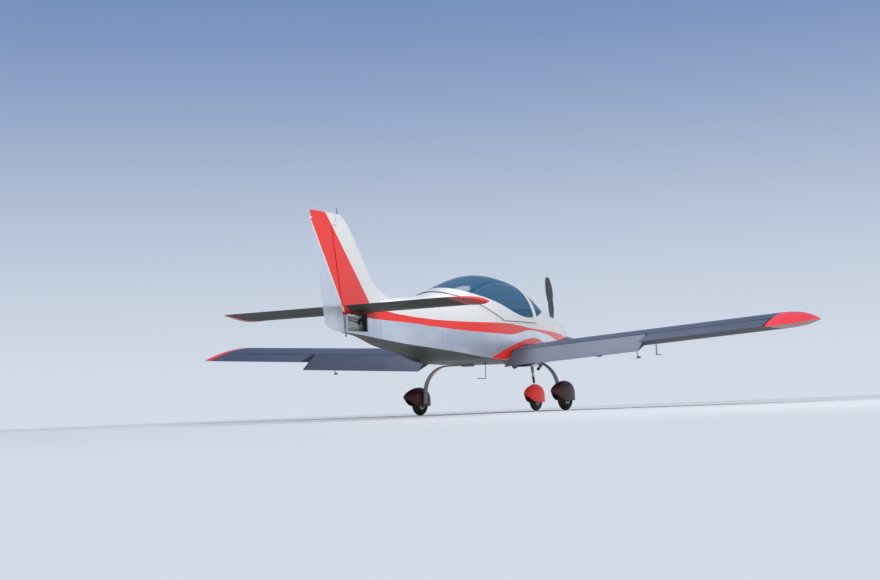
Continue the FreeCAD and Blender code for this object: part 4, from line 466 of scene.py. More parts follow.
def tyre_finish(name, node):
    """Rubber with tread ribs round the wheel and a plain, dusty sidewall."""
    low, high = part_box(node)
    centre, outer = (low + high) / 2, (high.z - low.z) / 2
    rubber = Finish(name, Specular_IOR_Level=0.35)
    side = abs(abs(rubber.y) - abs(centre.y))
    along, up = rubber.x - centre.x, rubber.z - centre.z
    radius = (up * up + along * along) ** 0.5
    ribs = (side * (math.pi / RIB_WIDTH)).sine() * radius.over(outer - 0.022, 0.004)
    grime = rubber.cloud(28, 4.0)
    rubber.put(Base_Color=grime.tint(rgb(0.016, 0.016, 0.017), rgb(0.055, 0.052, 0.048)),
               Roughness=grime * 0.2 + 0.58)
    rings = radius.near(outer - 0.040, 0.0015) + radius.near(outer - 0.052, 0.0010)
    return rubber.relief(abs(ribs) * 0.7 + rings * 0.3 + grime * 0.1, 0.0022)


tyre_finish("main_tyre_rubber", "tyre_left").wear_on("tyre_left", "tyre_right")
tyre_finish("nose_tyre_rubber", "nose_tyre").wear_on("nose_tyre")

# %% Metals, plastics and the cabin's plain parts
def metal_finish(name, light, dark, rough, scale=60):
    made = Finish(name, Metallic=1.0)
    grain = made.cloud(scale, 4.0)
    made.put(Base_Color=grain.tint(dark, light), Roughness=grain * 0.18 + rough)
    return made.relief(grain, 0.0003)


def plastic_finish(name, light, dark, rough, scale=240):
    made = Finish(name)
    grain = made.cloud(scale, 2.0)
    made.put(Base_Color=made.cloud(6, 2.0).tint(dark, light), Roughness=grain * 0.15 + rough)
    return made.relief(grain, 0.0003)


metal_finish("machined_rims", rgb(0.70, 0.71, 0.73), rgb(0.52, 0.53, 0.55), 0.22).wear_on(
    "rim_left", "rim_right", "nose_rim")
metal_finish("plain_steel", rgb(0.58, 0.58, 0.59), rgb(0.38, 0.38, 0.39), 0.26).wear_on(
    "canopy_latch", "control_cables", "tie_down_eyes", "pitot")
metal_finish("cast_engine", rgb(0.20, 0.20, 0.21), rgb(0.10, 0.10, 0.11), 0.48, 35).wear_on(
    "engine_block")
metal_finish("primed_sheet", rgb(0.12, 0.125, 0.115), rgb(0.08, 0.085, 0.080), 0.46, 30).wear_on(
    "firewall", "bulkheads", "seat_bench")
plastic_finish("panel_black", rgb(0.040, 0.040, 0.042), rgb(0.025, 0.025, 0.027), 0.55).wear_on(
    "instrument_panel")
plastic_finish("whip_black", rgb(0.05, 0.05, 0.055), rgb(0.03, 0.03, 0.034), 0.45).wear_on(
    "antennas")
metal_finish("heated_pipe", rgb(0.50, 0.44, 0.38), rgb(0.26, 0.22, 0.21), 0.34, 18).wear_on(
    "exhaust")

# %% Sticks, blades and lamp lenses
grips = Finish("stick_and_grip")
GRIP_BOTTOM = 0.955
foam = grips.z.over(GRIP_BOTTOM, 0.002)
grips.put(Base_Color=foam.tint(rgb(0.62, 0.62, 0.63), rgb(0.022, 0.022, 0.024)),
          Metallic=1 - foam, Roughness=foam * 0.45 + 0.28)
grips.relief(grips.cloud(260, 2.0) * foam, 0.0006).wear_on("control_sticks")

blade = Finish("blade_composite", Coat_Weight=0.4, Coat_Roughness=0.12)
weave = (blade.y * 900).sine() * (blade.z * 900).sine()
dusty = blade.cloud(14, 3.0)
blade.put(Base_Color=dusty.tint(rgb(0.030, 0.031, 0.036), rgb(0.060, 0.062, 0.070)),
          Roughness=blade.cloud(30, 2.0) * 0.12 + 0.30)
blade.relief(weave * 0.5, 0.0001).wear_on("propeller_blades")

lens = Finish("ribbed_lens", Roughness=0.08, Coat_Weight=1.0, Coat_Roughness=0.02)
facet = abs((lens.z * 700).sine())
lens.put(Base_Color=facet.tint(rgb(0.80, 0.80, 0.78), rgb(0.95, 0.94, 0.90)))
lens.relief(facet, 0.0008).wear_on("tail_light", "wing_lamps")

# %% [markdown]
# ## Rivets along every rib, frame and stringer
# A sheet-metal aircraft is held by thousands of small round heads in straight rows. Each
# row here starts as a line just off the skin. Geometry Nodes puts a point on it at every
# pitch, shoots a ray from the point along the line's aim, and sets a head where the ray
# lands, standing up along the skin's normal. So one tree follows any curved sheet, and a
# point whose ray misses, such as over an opening, gets no head.

# %% The rivet tree
def rivet_tree():
    """A tree that sets heads on a skin, in rows that follow lines beside it."""
    tree = bpy.data.node_groups.new("rivet_rows", "GeometryNodeTree")
    for name, kind in (("Lines", "Geometry"), ("Skin", "Object"), ("Pitch", "Float"),
                       ("Head Radius", "Float"), ("Reach", "Float"), ("Finish", "Material")):
        tree.interface.new_socket(name, in_out="INPUT", socket_type="NodeSocket" + kind)
    tree.interface.new_socket("Heads", in_out="OUTPUT", socket_type="NodeSocketGeometry")
    port = tree.nodes.new("NodeGroupInput").outputs
    lines = Wire(port["Lines"])
    radius = Wire(port["Head Radius"])
    aim, lean = (lines.node("GeometryNodeInputNamedAttribute", {"data_type": "FLOAT_VECTOR"},
                            {"Name": name}) for name in ("aim", "lean"))
    curves = lines.node("GeometryNodeMeshToCurve", None, {"Mesh": lines})
    points = lines.node("GeometryNodeCurveToPoints", {"mode": "LENGTH"},
                        {"Curve": curves, "Length": Wire(port["Pitch"])})
    skin = lines.node("GeometryNodeObjectInfo", None, {"Object": Wire(port["Skin"])}, "Geometry")
    ray = lines.node("GeometryNodeRaycast", None, {
        "Target Geometry": skin, "Ray Direction": aim, "Ray Length": Wire(port["Reach"])})
    hit, spot, normal = ray.outputs("Is Hit", "Hit Position", "Hit Normal")
    missed = lines.node("FunctionNodeBooleanMath", {"operation": "NOT"}, {0: hit})
    landed = lines.node("GeometryNodeDeleteGeometry", {"domain": "POINT"},
                        {"Geometry": points, "Selection": missed})
    leaning = lines.node("GeometryNodeStoreNamedAttribute", {"data_type": "FLOAT_VECTOR"},
                         {"Geometry": landed, "Name": "lean", "Value": normal})
    placed = lines.node("GeometryNodeSetPosition", None, {"Geometry": leaning, "Position": spot})
    head = lines.node("GeometryNodeMeshCone", None, {
        "Vertices": 7, "Radius Top": radius * 0.5, "Radius Bottom": radius, "Depth": radius * 0.42})
    sunk = lines.node("GeometryNodeTransform", None,
                      {"Geometry": head, "Translation": (0, 0, -0.0003)})
    upright = lines.node("FunctionNodeAlignRotationToVector", {"axis": "Z"}, {"Vector": lean})
    rows = lines.node("GeometryNodeInstanceOnPoints", None,
                      {"Points": placed, "Instance": sunk, "Rotation": upright})
    real = lines.node("GeometryNodeRealizeInstances", None, {"Geometry": rows})
    done = lines.node("GeometryNodeSetMaterial", None,
                      {"Geometry": real, "Material": Wire(port["Finish"])})
    tree.links.new(done.socket, tree.nodes.new("NodeGroupOutput").inputs["Heads"])
    return tree


RIVETS = rivet_tree()
print("rivet tree has", len(RIVETS.nodes), "nodes")

# %% From lines to a plain mesh of heads
def linked(name, data):
    """A new object in the scene, at the origin."""
    made = bpy.data.objects.new(name, data)
    bpy.context.scene.collection.objects.link(made)
    return made


def made_plain(holder):
    """The plain mesh of an object with its modifiers applied. The object is removed."""
    ready = holder.evaluated_get(bpy.context.evaluated_depsgraph_get())
    mesh = bpy.data.meshes.new_from_object(ready)
    bpy.data.objects.remove(holder)
    return mesh


def line_mesh(lines):
    """Open lines as one mesh. Each line has its points and the way that its rays go."""
    mesh = bpy.data.meshes.new("rivet_lines")
    places, edges, aims = [], [], []
    for points, aim in lines:
        edges += [(len(places) + n, len(places) + n + 1) for n in range(len(points) - 1)]
        places += points
        aims += [aim] * len(points)
    mesh.from_pydata(places, edges, [])
    aim_slot = mesh.attributes.new("aim", "FLOAT_VECTOR", "POINT")
    for n, aim in enumerate(aims):
        aim_slot.data[n].vector = aim
    return mesh


def tree_result(mesh, tree, **inputs):
    """The plain mesh that a tree makes from a mesh, with its inputs set by name."""
    holder = linked("holder", mesh)
    modifier = holder.modifiers.new("rows", "NODES")
    modifier.node_group = tree
    for item in tree.interface.items_tree:
        key = item.name.replace(" ", "_").lower()
        if item.in_out == "INPUT" and key in inputs:
            modifier[item.identifier] = inputs[key]
    return made_plain(holder)


def rivet_rows(node, lines, pitch=0.035, head=0.0042, reach=0.45, finish=None):
    """Rows of heads on one frame node's skin. They wear the skin's own finish unless told."""
    skin = frame["nodes"][node]
    return tree_result(line_mesh(lines), RIVETS, skin=skin, pitch=pitch, head_radius=head,
                       reach=reach, finish=finish or skin.material_slots[0].material)

# %% Finished pieces
def riding(name, mesh, body):
    """A piece from a plain mesh, which rides on a body."""
    piece = linked(name, mesh)
    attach(piece, body)
    print(name, "has", len(mesh.polygons), "faces")
    return piece


def joined(name, meshes, body):
    """One piece from several plain meshes, riding on a body."""
    whole = bmesh.new()
    finishes = []
    for mesh in meshes:
        shift = len(whole.faces)
        whole.from_mesh(mesh)
        whole.faces.ensure_lookup_table()
        for face in whole.faces[shift:]:
            finish = mesh.materials[face.material_index]
            if finish not in finishes:
                finishes.append(finish)
            face.material_index = finishes.index(finish)
    result = bpy.data.meshes.new(name)
    whole.to_mesh(result)
    whole.free()
    for finish in finishes:
        result.materials.append(finish)
    return riding(name, result, body)

# %% [markdown]
# ## Where the rows run
# Rows across a wing lie on its ribs and rows along it on its spars, above and below.
# Moving surfaces have ribs of their own. The fuselage has a ring of heads at each frame
# and long rows at its sill, its middle and its belly's corners.

# %% Rows of the flying surfaces
DOWN, UP, LEFTWARD, RIGHTWARD = (0, 0, -1), (0, 0, 1), (0, 1, 0), (0, -1, 0)
MOVING_RIBS = 0.30
OFF_SKIN = 0.05


def ribs_and_spars(node, pitch, spars, edge=0.035, root=0.0, side=1):
    """Lines over and under a flat surface: ribs along x, and spars along y."""
    low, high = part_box(node)
    inner, outer = (low[1], high[1]) if side > 0 else (-high[1], -low[1])
    start, end = max(inner, root) + edge, outer - edge
    count = max(1, round((end - start) / pitch))
    lines = []
    for z, aim in ((high[2] + OFF_SKIN, DOWN), (low[2] - OFF_SKIN, UP)):
        for n in range(count + 1):
            y = side * (start + (end - start) * n / count)
            lines.append(([(low[0] + edge, y, z), (high[0] - edge, y, z)], aim))
        for share in spars:
            x = low[0] + share * (high[0] - low[0])
            lines.append(([(x, side * start, z), (x, side * end, z)], aim))
    return lines


def both_sides(node, pitch, spars, root):
    """The same lines on the left and the right half of a surface."""
    return [line for side in (1, -1)
            for line in ribs_and_spars(node, pitch, spars, root=root, side=side)]


airframe_rows = [
    rivet_rows("wings", both_sides("wings", WING_RIBS, (0.05, 0.62, 0.93), 0.60), reach=0.7),
    rivet_rows("tailplane", both_sides("tailplane", TAIL_RIBS, (0.16, 0.84), 0.16), reach=0.4)]
for name in ("flap", "aileron"):
    for side, word in ((1, "left"), (-1, "right")):
        node = name + "_" + word
        lines = ribs_and_spars(node, MOVING_RIBS, (0.08, 0.74), side=side)
        joined(node + "_rivets", [rivet_rows(node, lines, reach=0.6)],
               node + "_body")
elevator_lines = both_sides("elevator", MOVING_RIBS, (0.10, 0.72), 0.10)
joined("elevator_rivets", [rivet_rows("elevator", elevator_lines)],
       "elevator_body")

# %% Rows of the fin and rudder
OFF_MIDDLE = 0.12


def upright_rows(node, heights, leaning):
    """Lines on both sides of an upright surface: at heights, and along leaning lines."""
    low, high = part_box(node)
    lines = []
    for y, aim in ((OFF_MIDDLE, RIGHTWARD), (-OFF_MIDDLE, LEFTWARD)):
        lines += [([(low[0] + 0.03, y, z), (high[0] - 0.03, y, z)], aim) for z in heights]
        lines += [([(a[0], y, a[1]), (b[0], y, b[1])], aim) for a, b in leaning]
    return lines


FIN_RIBS = (1.42, 1.66, 1.90, 2.12)
FIN_SPAR = [((-2.690, 1.26), (-2.850, 2.13)), ((-2.66, 1.26), (-2.82, 2.13))]
RUDDER_EDGES = [((-2.790, 1.02), (-2.985, 2.12)), ((-3.02, 1.02), (-3.185, 2.12))]
airframe_rows.append(rivet_rows("fin", upright_rows("fin", FIN_RIBS, FIN_SPAR), reach=0.2))
rudder_lines = upright_rows("rudder", (1.02, 1.18) + FIN_RIBS, RUDDER_EDGES)
joined("rudder_rivets", [rivet_rows("rudder", rudder_lines, reach=0.2)],
       "rudder_body")

# %% The hull at its stations: x, belly height, half width and crown height
HULL = [(-2.625, 0.942, 0.034, 1.228), (-1.95, 0.868, 0.150, 1.298), (-1.25, 0.794, 0.298, 1.402),
        (-0.55, 0.721, 0.446, 1.514), (-0.05, 0.668, 0.546, 1.656), (0.40, 0.650, 0.578, 1.746),
        (0.85, 0.646, 0.580, 1.746), (1.20, 0.647, 0.566, 1.700), (1.60, 0.650, 0.526, 1.540),
        (1.95, 0.656, 0.474, 1.386)]
SILL = 1.135
OFF_SIDE = 0.06


def hull(x):
    """Belly height, half width and crown height at a station."""
    for rear, fore in zip(HULL, HULL[1:]):
        if x <= fore[0]:
            break
    way = (x - rear[0]) / (fore[0] - rear[0])
    return [a + way * (b - a) for a, b in zip(rear[1:], fore[1:])]


def side_line(first, last, height, side):
    """A long row at a share of the way from belly to sill, or at a height over the sill."""
    points = []
    for n in range(13):
        x = first + (last - first) * n / 12
        belly, half, _ = hull(x)
        z = belly + height * (SILL - belly) if height < 1 else height
        points.append((x, side * (half + OFF_SIDE), z))
    return points, (0, -side, 0)


print("hull at the wing:", [round(size, 3) for size in hull(0.75)])

# %% Rows of the fuselage
FRAMES = [-2.10 + FRAME_STATIONS * n for n in range(12)]
WING_TOP = 0.93
lower_lines, deck_lines = [], []
for side in (1, -1):
    inward = (0, -side, 0)
    for share in (0.10, 0.52, 0.955):
        lower_lines.append(side_line(-2.18, 1.92, share, side))
    deck_lines.append(side_line(-2.45, -0.75, 1.158, side))
    for x in FRAMES:
        belly, half, _ = hull(x)
        beside_wing = 0.02 < x < 1.42
        y, under = side * (half + OFF_SIDE), belly - OFF_SKIN
        foot = WING_TOP if beside_wing else belly + 0.05
        lower_lines.append(([(x, y, SILL - 0.03), (x, y, foot)], inward))
        lower_lines.append(([(x, side * 0.02, under), (x, side * (half - 0.05), under)], UP))
    lower_lines.append(([(x, side * 0.62 * hull(x)[1], hull(x)[0] - OFF_SKIN)
                         for x in FRAMES], UP))
for x in [x for x in FRAMES if x < -0.5]:
    _, half, crown = hull(x)
    over = crown + OFF_SKIN
    deck_lines.append(([(x, -half, over), (x, half, over)], DOWN))
for node, lines, reach in (("fuselage_lower", lower_lines, 0.16), ("turtle_deck", deck_lines, 0.30)):
    airframe_rows.append(rivet_rows(node, lines, reach=reach, finish=sheet_heads.material))
print("fuselage rows:", len(lower_lines), "below and", len(deck_lines), "on the deck")

# %% Quarter-turn screws round the cowls
COWL_REAR = 1.985
SCREW_PITCH = 0.095
SCREW_RADIUS = 0.0075
screw_steel = metal_finish("cowl_screws", rgb(0.42, 0.42, 0.43), rgb(0.26, 0.26, 0.27), 0.30, 90)
cowl_lines = {"upper_cowl": [], "lower_cowl": []}
for side in (1, -1):
    inward = (0, -side, 0)
    for node, z, rise in (("upper_cowl", 1.062, 0.19), ("lower_cowl", 1.018, -0.30)):
        y = side * 0.60
        cowl_lines[node] += [([(1.99, side * 0.56, z), (2.84, side * 0.40, z)], inward),
                             ([(COWL_REAR, y, z), (COWL_REAR, y, z + rise)], inward)]
    crown_row = [(COWL_REAR, side * 0.04, 1.45), (COWL_REAR, side * 0.42, 1.45)]
    cowl_lines["upper_cowl"].append((crown_row, DOWN))
for node, lines in cowl_lines.items():
    airframe_rows.append(rivet_rows(node, lines, SCREW_PITCH, SCREW_RADIUS, 0.30,
                                    screw_steel.material))
joined("airframe_rivets", airframe_rows, "airframe")

# %% [markdown]
# ## Seat cushions, filled by cloth simulation
# Each seat has a base and a back in dark fabric. The frame has them as plain blocks. Here
# a block is taken a little smaller, cut into even cells and blown up as cloth, so its
# faces crown and its sides pull in between the corners. Sewn channels and a raised welt
# come after, because the even cells would wipe them out. The left seat is simulated and
# the right one is its mirror image, as a trimmer would cut both from one pattern.

# %% A block that is ready to swell
CELL = 0.007
DRAWN_IN = 0.005


def corners(points):
    """The lowest and the highest corner of some points."""
    return [Vector([pick(p[i] for p in points) for i in range(3)]) for pick in (min, max)]


def left_block(node):
    """The left solid of a frame node, drawn in a little on every side, in even cells."""
    block = bmesh.new()
    block.from_mesh(frame["nodes"][node].data)
    bmesh.ops.remove_doubles(block, verts=block.verts, dist=1e-5)
    bmesh.ops.delete(block, geom=[v for v in block.verts if v.co.y < 0], context="VERTS")
    low, high = corners([v.co for v in block.verts])
    centre, size = (low + high) / 2, high - low
    for v in block.verts:
        shares = [1 - 2 * DRAWN_IN / size[i] for i in range(3)]
        v.co = centre + Vector([(v.co[i] - centre[i]) * shares[i] for i in range(3)])
    mesh = bpy.data.meshes.new(node)
    block.to_mesh(mesh)
    block.free()
    return with_modifier(mesh, "REMESH", mode="VOXEL", voxel_size=CELL)


def with_modifier(mesh, kind, **settings):
    """A plain copy of a mesh with one modifier applied."""
    holder = linked("holder", mesh)
    modifier = holder.modifiers.new(kind, kind)
    for key, value in settings.items():
        setattr(modifier, key, value)
    return made_plain(holder)


print("cushions start as cells of", CELL, "m")

# %% Blow it up as cloth
PRESSURE = 4.0
LAST_FRAME = 20
MOST_SWELL = 0.016


def blown_up(mesh):
    """The mesh after some frames as cloth under pressure, with each point's way limited."""
    holder = linked("pad", mesh)
    cloth = holder.modifiers.new("pressure", "CLOTH")
    cloth.settings.use_pressure = True
    cloth.settings.uniform_pressure_force = PRESSURE
    cloth.settings.effector_weights.gravity = 0.0
    cloth.settings.quality = 5
    cloth.collision_settings.use_collision = False
    cloth.point_cache.frame_start, cloth.point_cache.frame_end = 1, LAST_FRAME
    for step in range(1, LAST_FRAME + 1):
        bpy.context.scene.frame_set(step)
    swollen = made_plain(holder)
    bpy.context.scene.frame_set(1)
    for v, first in zip(swollen.vertices, mesh.vertices):
        way = v.co - first.co
        if way.length > MOST_SWELL:
            v.co = first.co + way.normalized() * MOST_SWELL
    return swollen


print("cloth frames for each cushion:", LAST_FRAME)

# %% Channels, welt and the mirrored pair
CHANNEL_WIDTH = 0.006
CHANNEL_DEPTH = 0.0060
WELT_WIDTH = 0.005
WELT_RISE = 0.0030


def ridge(distance, width):
    """1 on a line, and fading to nothing a few widths away."""
    return math.exp(-(distance / width) ** 2)


def sew(mesh, face_axis, up_axis, channels):
    """Presses channels into a cushion's face and raises a welt round its sides."""
    spots = [v.co.copy() for v in mesh.vertices]
    low, high = corners(spots)
    middle = (low[face_axis] + high[face_axis]) / 2
    lines = [low[up_axis] + share * (high[up_axis] - low[up_axis]) for share in channels]
    normals = [n.vector.copy() for n in mesh.vertex_normals]
    for v, spot, normal in zip(mesh.vertices, spots, normals):
        sunk = max(ridge(spot[up_axis] - line, CHANNEL_WIDTH) for line in lines)
        front = max(0.0, normal[face_axis]) ** 2
        welt = ridge(spot[face_axis] - middle, WELT_WIDTH) * (1 - abs(normal[face_axis]))
        v.co = spot + normal * (WELT_RISE * welt - CHANNEL_DEPTH * sunk * front)


def cushion(node, face_axis, up_axis, channels):
    """Left and right cushions that replace a frame node, sewn across their faces."""
    mesh = left_block(node)
    mesh = blown_up(mesh)
    mesh = with_modifier(mesh, "SUBSURF", levels=1, render_levels=1)
    sew(mesh, face_axis, up_axis, channels)
    mesh.materials.clear()
    mesh.materials.append(fabric.material)
    mesh.polygons.foreach_set("use_smooth", [True] * len(mesh.polygons))
    mirrored = mesh.copy()
    for v in mirrored.vertices:
        v.co.y = -v.co.y
    mirrored.flip_normals()
    pair = [riding(node[:-1] + "_" + word, side, "airframe")
            for word, side in (("left", mesh), ("right", mirrored))]
    for pad in pair:
        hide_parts(node)
    return pair

# %% Seat fabric and the four cushions
fabric = Finish("seat_fabric", Sheen_Weight=0.35, Sheen_Roughness=0.5)
weave = (fabric.y * 2400).sine() * ((fabric.x + fabric.z) * 2400).sine()
worn = fabric.cloud(14, 3.0)
threads = (weave * 0.25 + worn * 0.6).tint(rgb(0.035, 0.037, 0.042), rgb(0.095, 0.10, 0.11))
fabric.put(Base_Color=threads, Roughness=worn * 0.1 + 0.78)
fabric.relief(weave * 0.5 + worn * 0.5, 0.0008)
seat_bases = cushion("seat_bases", 2, 0, (0.34, 0.67))
seat_backs = cushion("seat_backs", 0, 2, (0.25, 0.50, 0.75))

# %% [markdown]
# ## Harnesses
# Two shoulder straps and a lap strap lie on each seat and meet at a buckle. Webbing is
# flat and thin, so each strap is swept along points where rays meet the cushions, a few
# millimetres above the fabric.

# %% A strap that follows a cushion
STRAP_WIDTH = 0.042
STRAP_THICK = 0.0022
LIFT = 0.0045


def skinned(shape, rings, ends=True):
    """Walls between rings of corners, with flat ends or else back to the first ring."""
    row = rings if ends else rings + rings[:1]
    for one, two in zip(row, row[1:]):
        for n in range(len(one)):
            after = (n + 1) % len(one)
            shape.faces.new((one[n], one[after], two[after], two[n]))
    if ends:
        shape.faces.new(rings[0])
        shape.faces.new(rings[-1])


def landed_points(pad, starts, aim):
    """Where rays from the starts meet a cushion, lifted a little off it."""
    points = []
    for start in starts:
        hit, spot, normal, _ = pad.ray_cast(Vector(start), Vector(aim))
        if hit:
            points.append((spot - Vector(aim) * LIFT, normal))
    return points


def strap(shape, points):
    """Adds a flat band along points, smoothed a little, to a bmesh."""
    spots = [p for p, _ in points]
    for _ in range(3):
        inner = [(a + b * 2 + c) / 4 for a, b, c in zip(spots, spots[1:], spots[2:])]
        spots = [spots[0], *inner, spots[-1]]
    rings = []
    for n, spot in enumerate(spots):
        run = (spots[min(n + 1, len(spots) - 1)] - spots[max(n - 1, 0)]).normalized()
        across = points[n][1].cross(run).normalized()
        up = run.cross(across).normalized()
        rings.append([shape.verts.new(spot + across * (a * STRAP_WIDTH / 2) + up * (b * STRAP_THICK))
                      for a, b in ((-1, 0), (1, 0), (1, 1), (-1, 1))])
    skinned(shape, rings)


def piece_from(name, shape, finish, smooth=False):
    """Turns a bmesh into a named piece that rides on the airframe."""
    bmesh.ops.recalc_face_normals(shape, faces=shape.faces)
    mesh = bpy.data.meshes.new(name)
    shape.to_mesh(mesh)
    shape.free()
    mesh.materials.append(finish.material)
    mesh.polygons.foreach_set("use_smooth", [smooth] * len(mesh.polygons))
    return riding(name, mesh, "airframe")


print("straps are", STRAP_WIDTH, "m wide")

# %% Straps and buckles
SEAT_CENTRE = 0.24
BUCKLE_SIZE = 0.052, 0.066, 0.016
BUCKLE_FORWARD = 0.07
BUCKLE_LIFT = 0.0125
OUTSIDE = 0.3

webbing = Finish("harness_webbing", Sheen_Weight=0.2)
ribs = (webbing.y * 3000).sine() * ((webbing.x + webbing.z) * 1500).sine()
yarn = webbing.cloud(20, 2.0) * 0.7 + ribs * 0.2
webbing.put(Base_Color=yarn.tint(rgb(0.020, 0.021, 0.026), rgb(0.060, 0.062, 0.075)),
            Roughness=webbing.cloud(30, 2.0) * 0.1 + 0.62)
webbing.relief(ribs, 0.0005)
bands, clasps = bmesh.new(), bmesh.new()
for base, back in zip(seat_bases, seat_backs):
    centre = SEAT_CENTRE if base.name.endswith("left") else -SEAT_CENTRE
    base_low, base_high = Vector(base.bound_box[0]), Vector(base.bound_box[6])
    back_low, back_high = Vector(back.bound_box[0]), Vector(back.bound_box[6])
    buckle_x, over = base_low.x + BUCKLE_FORWARD, base_high.z + OUTSIDE
    drop = back_high.z - back_low.z - 0.09
    for spread in (1, -1):
        shoulder = [(back_high.x + OUTSIDE, centre + spread * (0.10 - 0.055 * way),
                     back_high.z - 0.03 - drop * way) for way in [n / 25 for n in range(26)]]
        strap(bands, landed_points(back, shoulder, (-1, 0, 0)))
        lap = [(buckle_x - 0.02 * way, centre + spread * (0.03 + 0.145 * way), over)
               for way in [n / 14 for n in range(15)]]
        strap(bands, landed_points(base, lap, DOWN))
    _, spot, _, _ = base.ray_cast(Vector((buckle_x, centre, over)), Vector(DOWN))
    bmesh.ops.create_cube(clasps, size=1.0)
    for v in clasps.verts[-8:]:
        v.co = v.co * Vector(BUCKLE_SIZE) + spot + Vector(UP) * BUCKLE_LIFT
bmesh.ops.bevel(clasps, geom=clasps.edges[:], offset=0.005, segments=3, profile=0.6,
                affect="EDGES")
buckle_metal = metal_finish("buckle_metal", rgb(0.60, 0.60, 0.61), rgb(0.45, 0.45, 0.46), 0.25, 80)
piece_from("harness_straps", bands, webbing)
piece_from("harness_buckles", clasps, buckle_metal)

# %% [markdown]
# ## Instruments on the panel
# Through the tinted canopy the panel shows as a dark board with round dials. Each dial
# is a turned bezel round a face. The face's ticks are drawn from its own UV map, by angle
# and radius, and the pointer is a thin wedge. Knobs and switches fill the lower row.

# %% Bezels
PANEL_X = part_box("instrument_panel")[0][0]
DIALS = [(y, z, 0.040) for z in (1.165, 1.072) for y in (0.40, 0.31, 0.22)]
DIALS += [(y, z, 0.029) for z in (1.165, 1.095) for y in (-0.20, -0.27, -0.34, -0.41)]


def circle(radius, steps=36):
    """Points of a circle, as pairs of numbers."""
    angles = [math.tau * n / steps for n in range(steps)]
    return [(radius * math.cos(angle), radius * math.sin(angle)) for angle in angles]


def turned(shape, profile, y, z, ends, steps=36):
    """Adds a form turned about an axis along x, facing aft, to a bmesh."""
    skinned(shape, [[shape.verts.new((PANEL_X - depth, y + a, z + b))
                     for a, b in circle(radius, steps)] for radius, depth in profile], ends)


bezels = bmesh.new()
for y, z, radius in DIALS:
    inner = radius - 0.006
    turned(bezels, [(radius, 0.0003), (radius, 0.004), (radius - 0.002, 0.006),
                    (radius - 0.005, 0.006), (inner, 0.003), (inner, 0.0003)], y, z, ends=False)
bezel_black = plastic_finish("bezel_black", rgb(0.030, 0.030, 0.032), rgb(0.018, 0.018, 0.020),
                             0.32, 300)
piece_from("panel_bezels", bezels, bezel_black, smooth=True)

# %% Dial faces and pointers
FACE_DEPTH = 0.0022
POINTER_DEPTH = 0.0026
POINTER_THICK = 0.0009
POINTER_TAIL = 0.006
POINTER_HALF = 0.0016

faces, pointers = bmesh.new(), bmesh.new()
dial_map = faces.loops.layers.uv.new("dial")
for number, (y, z, radius) in enumerate(DIALS):
    rim = [faces.verts.new((PANEL_X - FACE_DEPTH, y + a, z + b)) for a, b in circle(radius - 0.0055)]
    for loop in faces.faces.new(rim).loops:
        across, up = loop.vert.co.y - y, loop.vert.co.z - z
        loop[dial_map].uv = (0.5 - across / radius / 2, 0.5 + up / radius / 2)
    angle = 2.1 + 0.9 * number
    tip = Vector((0, math.cos(angle), math.sin(angle)))
    wide = Vector((0, -tip.z, tip.y)) * POINTER_HALF
    hub = Vector((PANEL_X - POINTER_DEPTH, y, z))
    tail = hub - tip * POINTER_TAIL
    wedge = [tail + wide, tail - wide, hub + tip * (radius - 0.012)]
    skinned(pointers, [[pointers.verts.new(p - Vector((depth, 0, 0))) for p in wedge]
                       for depth in (0.0, POINTER_THICK)])

dial = Finish("dial_face", Roughness=0.35)
dial_uv = dial.point.node("ShaderNodeUVMap", {"uv_map": "dial"})
u, v, _ = dial_uv.vector("SUBTRACT", (0.5, 0.5, 0.0)).parts()
round_way = u.math("ARCTAN2", v, u)
out_way = (u * u + v * v) ** 0.5
ticks = (1 - round_way.every(math.tau / 24).over(0.035, 0.01)) * out_way.near(0.385, 0.028, 0.004)
dial.put(Base_Color=ticks.tint(rgb(0.012, 0.012, 0.013), rgb(0.80, 0.80, 0.76)))
paper = plastic_finish("pointer_white", rgb(0.80, 0.80, 0.77), rgb(0.72, 0.72, 0.70), 0.45, 300)
piece_from("panel_dials", faces, dial)
piece_from("panel_pointers", pointers, paper)

# %% Switches and knobs
SWITCHES = 0.42, 0.38, 0.34, 0.30, 0.26, 0.22
KNOBS = 0.0, -0.05, -0.22, -0.30, -0.38
LOWER_ROW = 0.995

knobs = bmesh.new()
for tall, row in ((0.014, SWITCHES), (0.020, KNOBS)):
    for y in row:
        turned(knobs, [(0.006, 0.0003), (0.0075, 0.002), (0.0072, tall - 0.003), (0.0055, tall)],
               y, LOWER_ROW, ends=True, steps=20)
piece_from("panel_knobs", knobs, bezel_black, smooth=True)

# %% [markdown]
# ## Inside the tail bay
# The stern is open under the tailplane. The photograph shows a grey sheet in there, two
# thin rods that slope down to a dark bell crank, and a pale link from the crank to a foot
# on the floor. They stand clear of the elevator's horn, the push rod and the rudder.

# %% Web, rods, bell crank and link
WEB_EDGE = [(-2.598, 0.946), (-2.252, 0.908), (-2.252, 1.134), (-2.598, 1.134)]
WEB_HALF = 0.0010
CRANK = (-2.318, -0.022, 1.062)
ROD_Y = -0.016
ROD_HALF = 0.0030


def bar(shape, start, end, half_y, half_up):
    """Adds a straight flat bar between two points to a bmesh."""
    start, end = Vector(start), Vector(end)
    across = Vector(LEFTWARD)
    up = (end - start).normalized().cross(across).normalized()
    skinned(shape, [[shape.verts.new(spot + across * (a * half_y) + up * (b * half_up))
                     for a, b in ((-1, -1), (1, -1), (1, 1), (-1, 1))] for spot in (start, end)])


def disc(shape, centre, radius, half_y):
    """Adds a flat wheel on a y axis to a bmesh."""
    x, y, z = centre
    skinned(shape, [[shape.verts.new((x + a, y + side * half_y, z + b))
                     for a, b in circle(radius, 24)] for side in (-1, 1)])


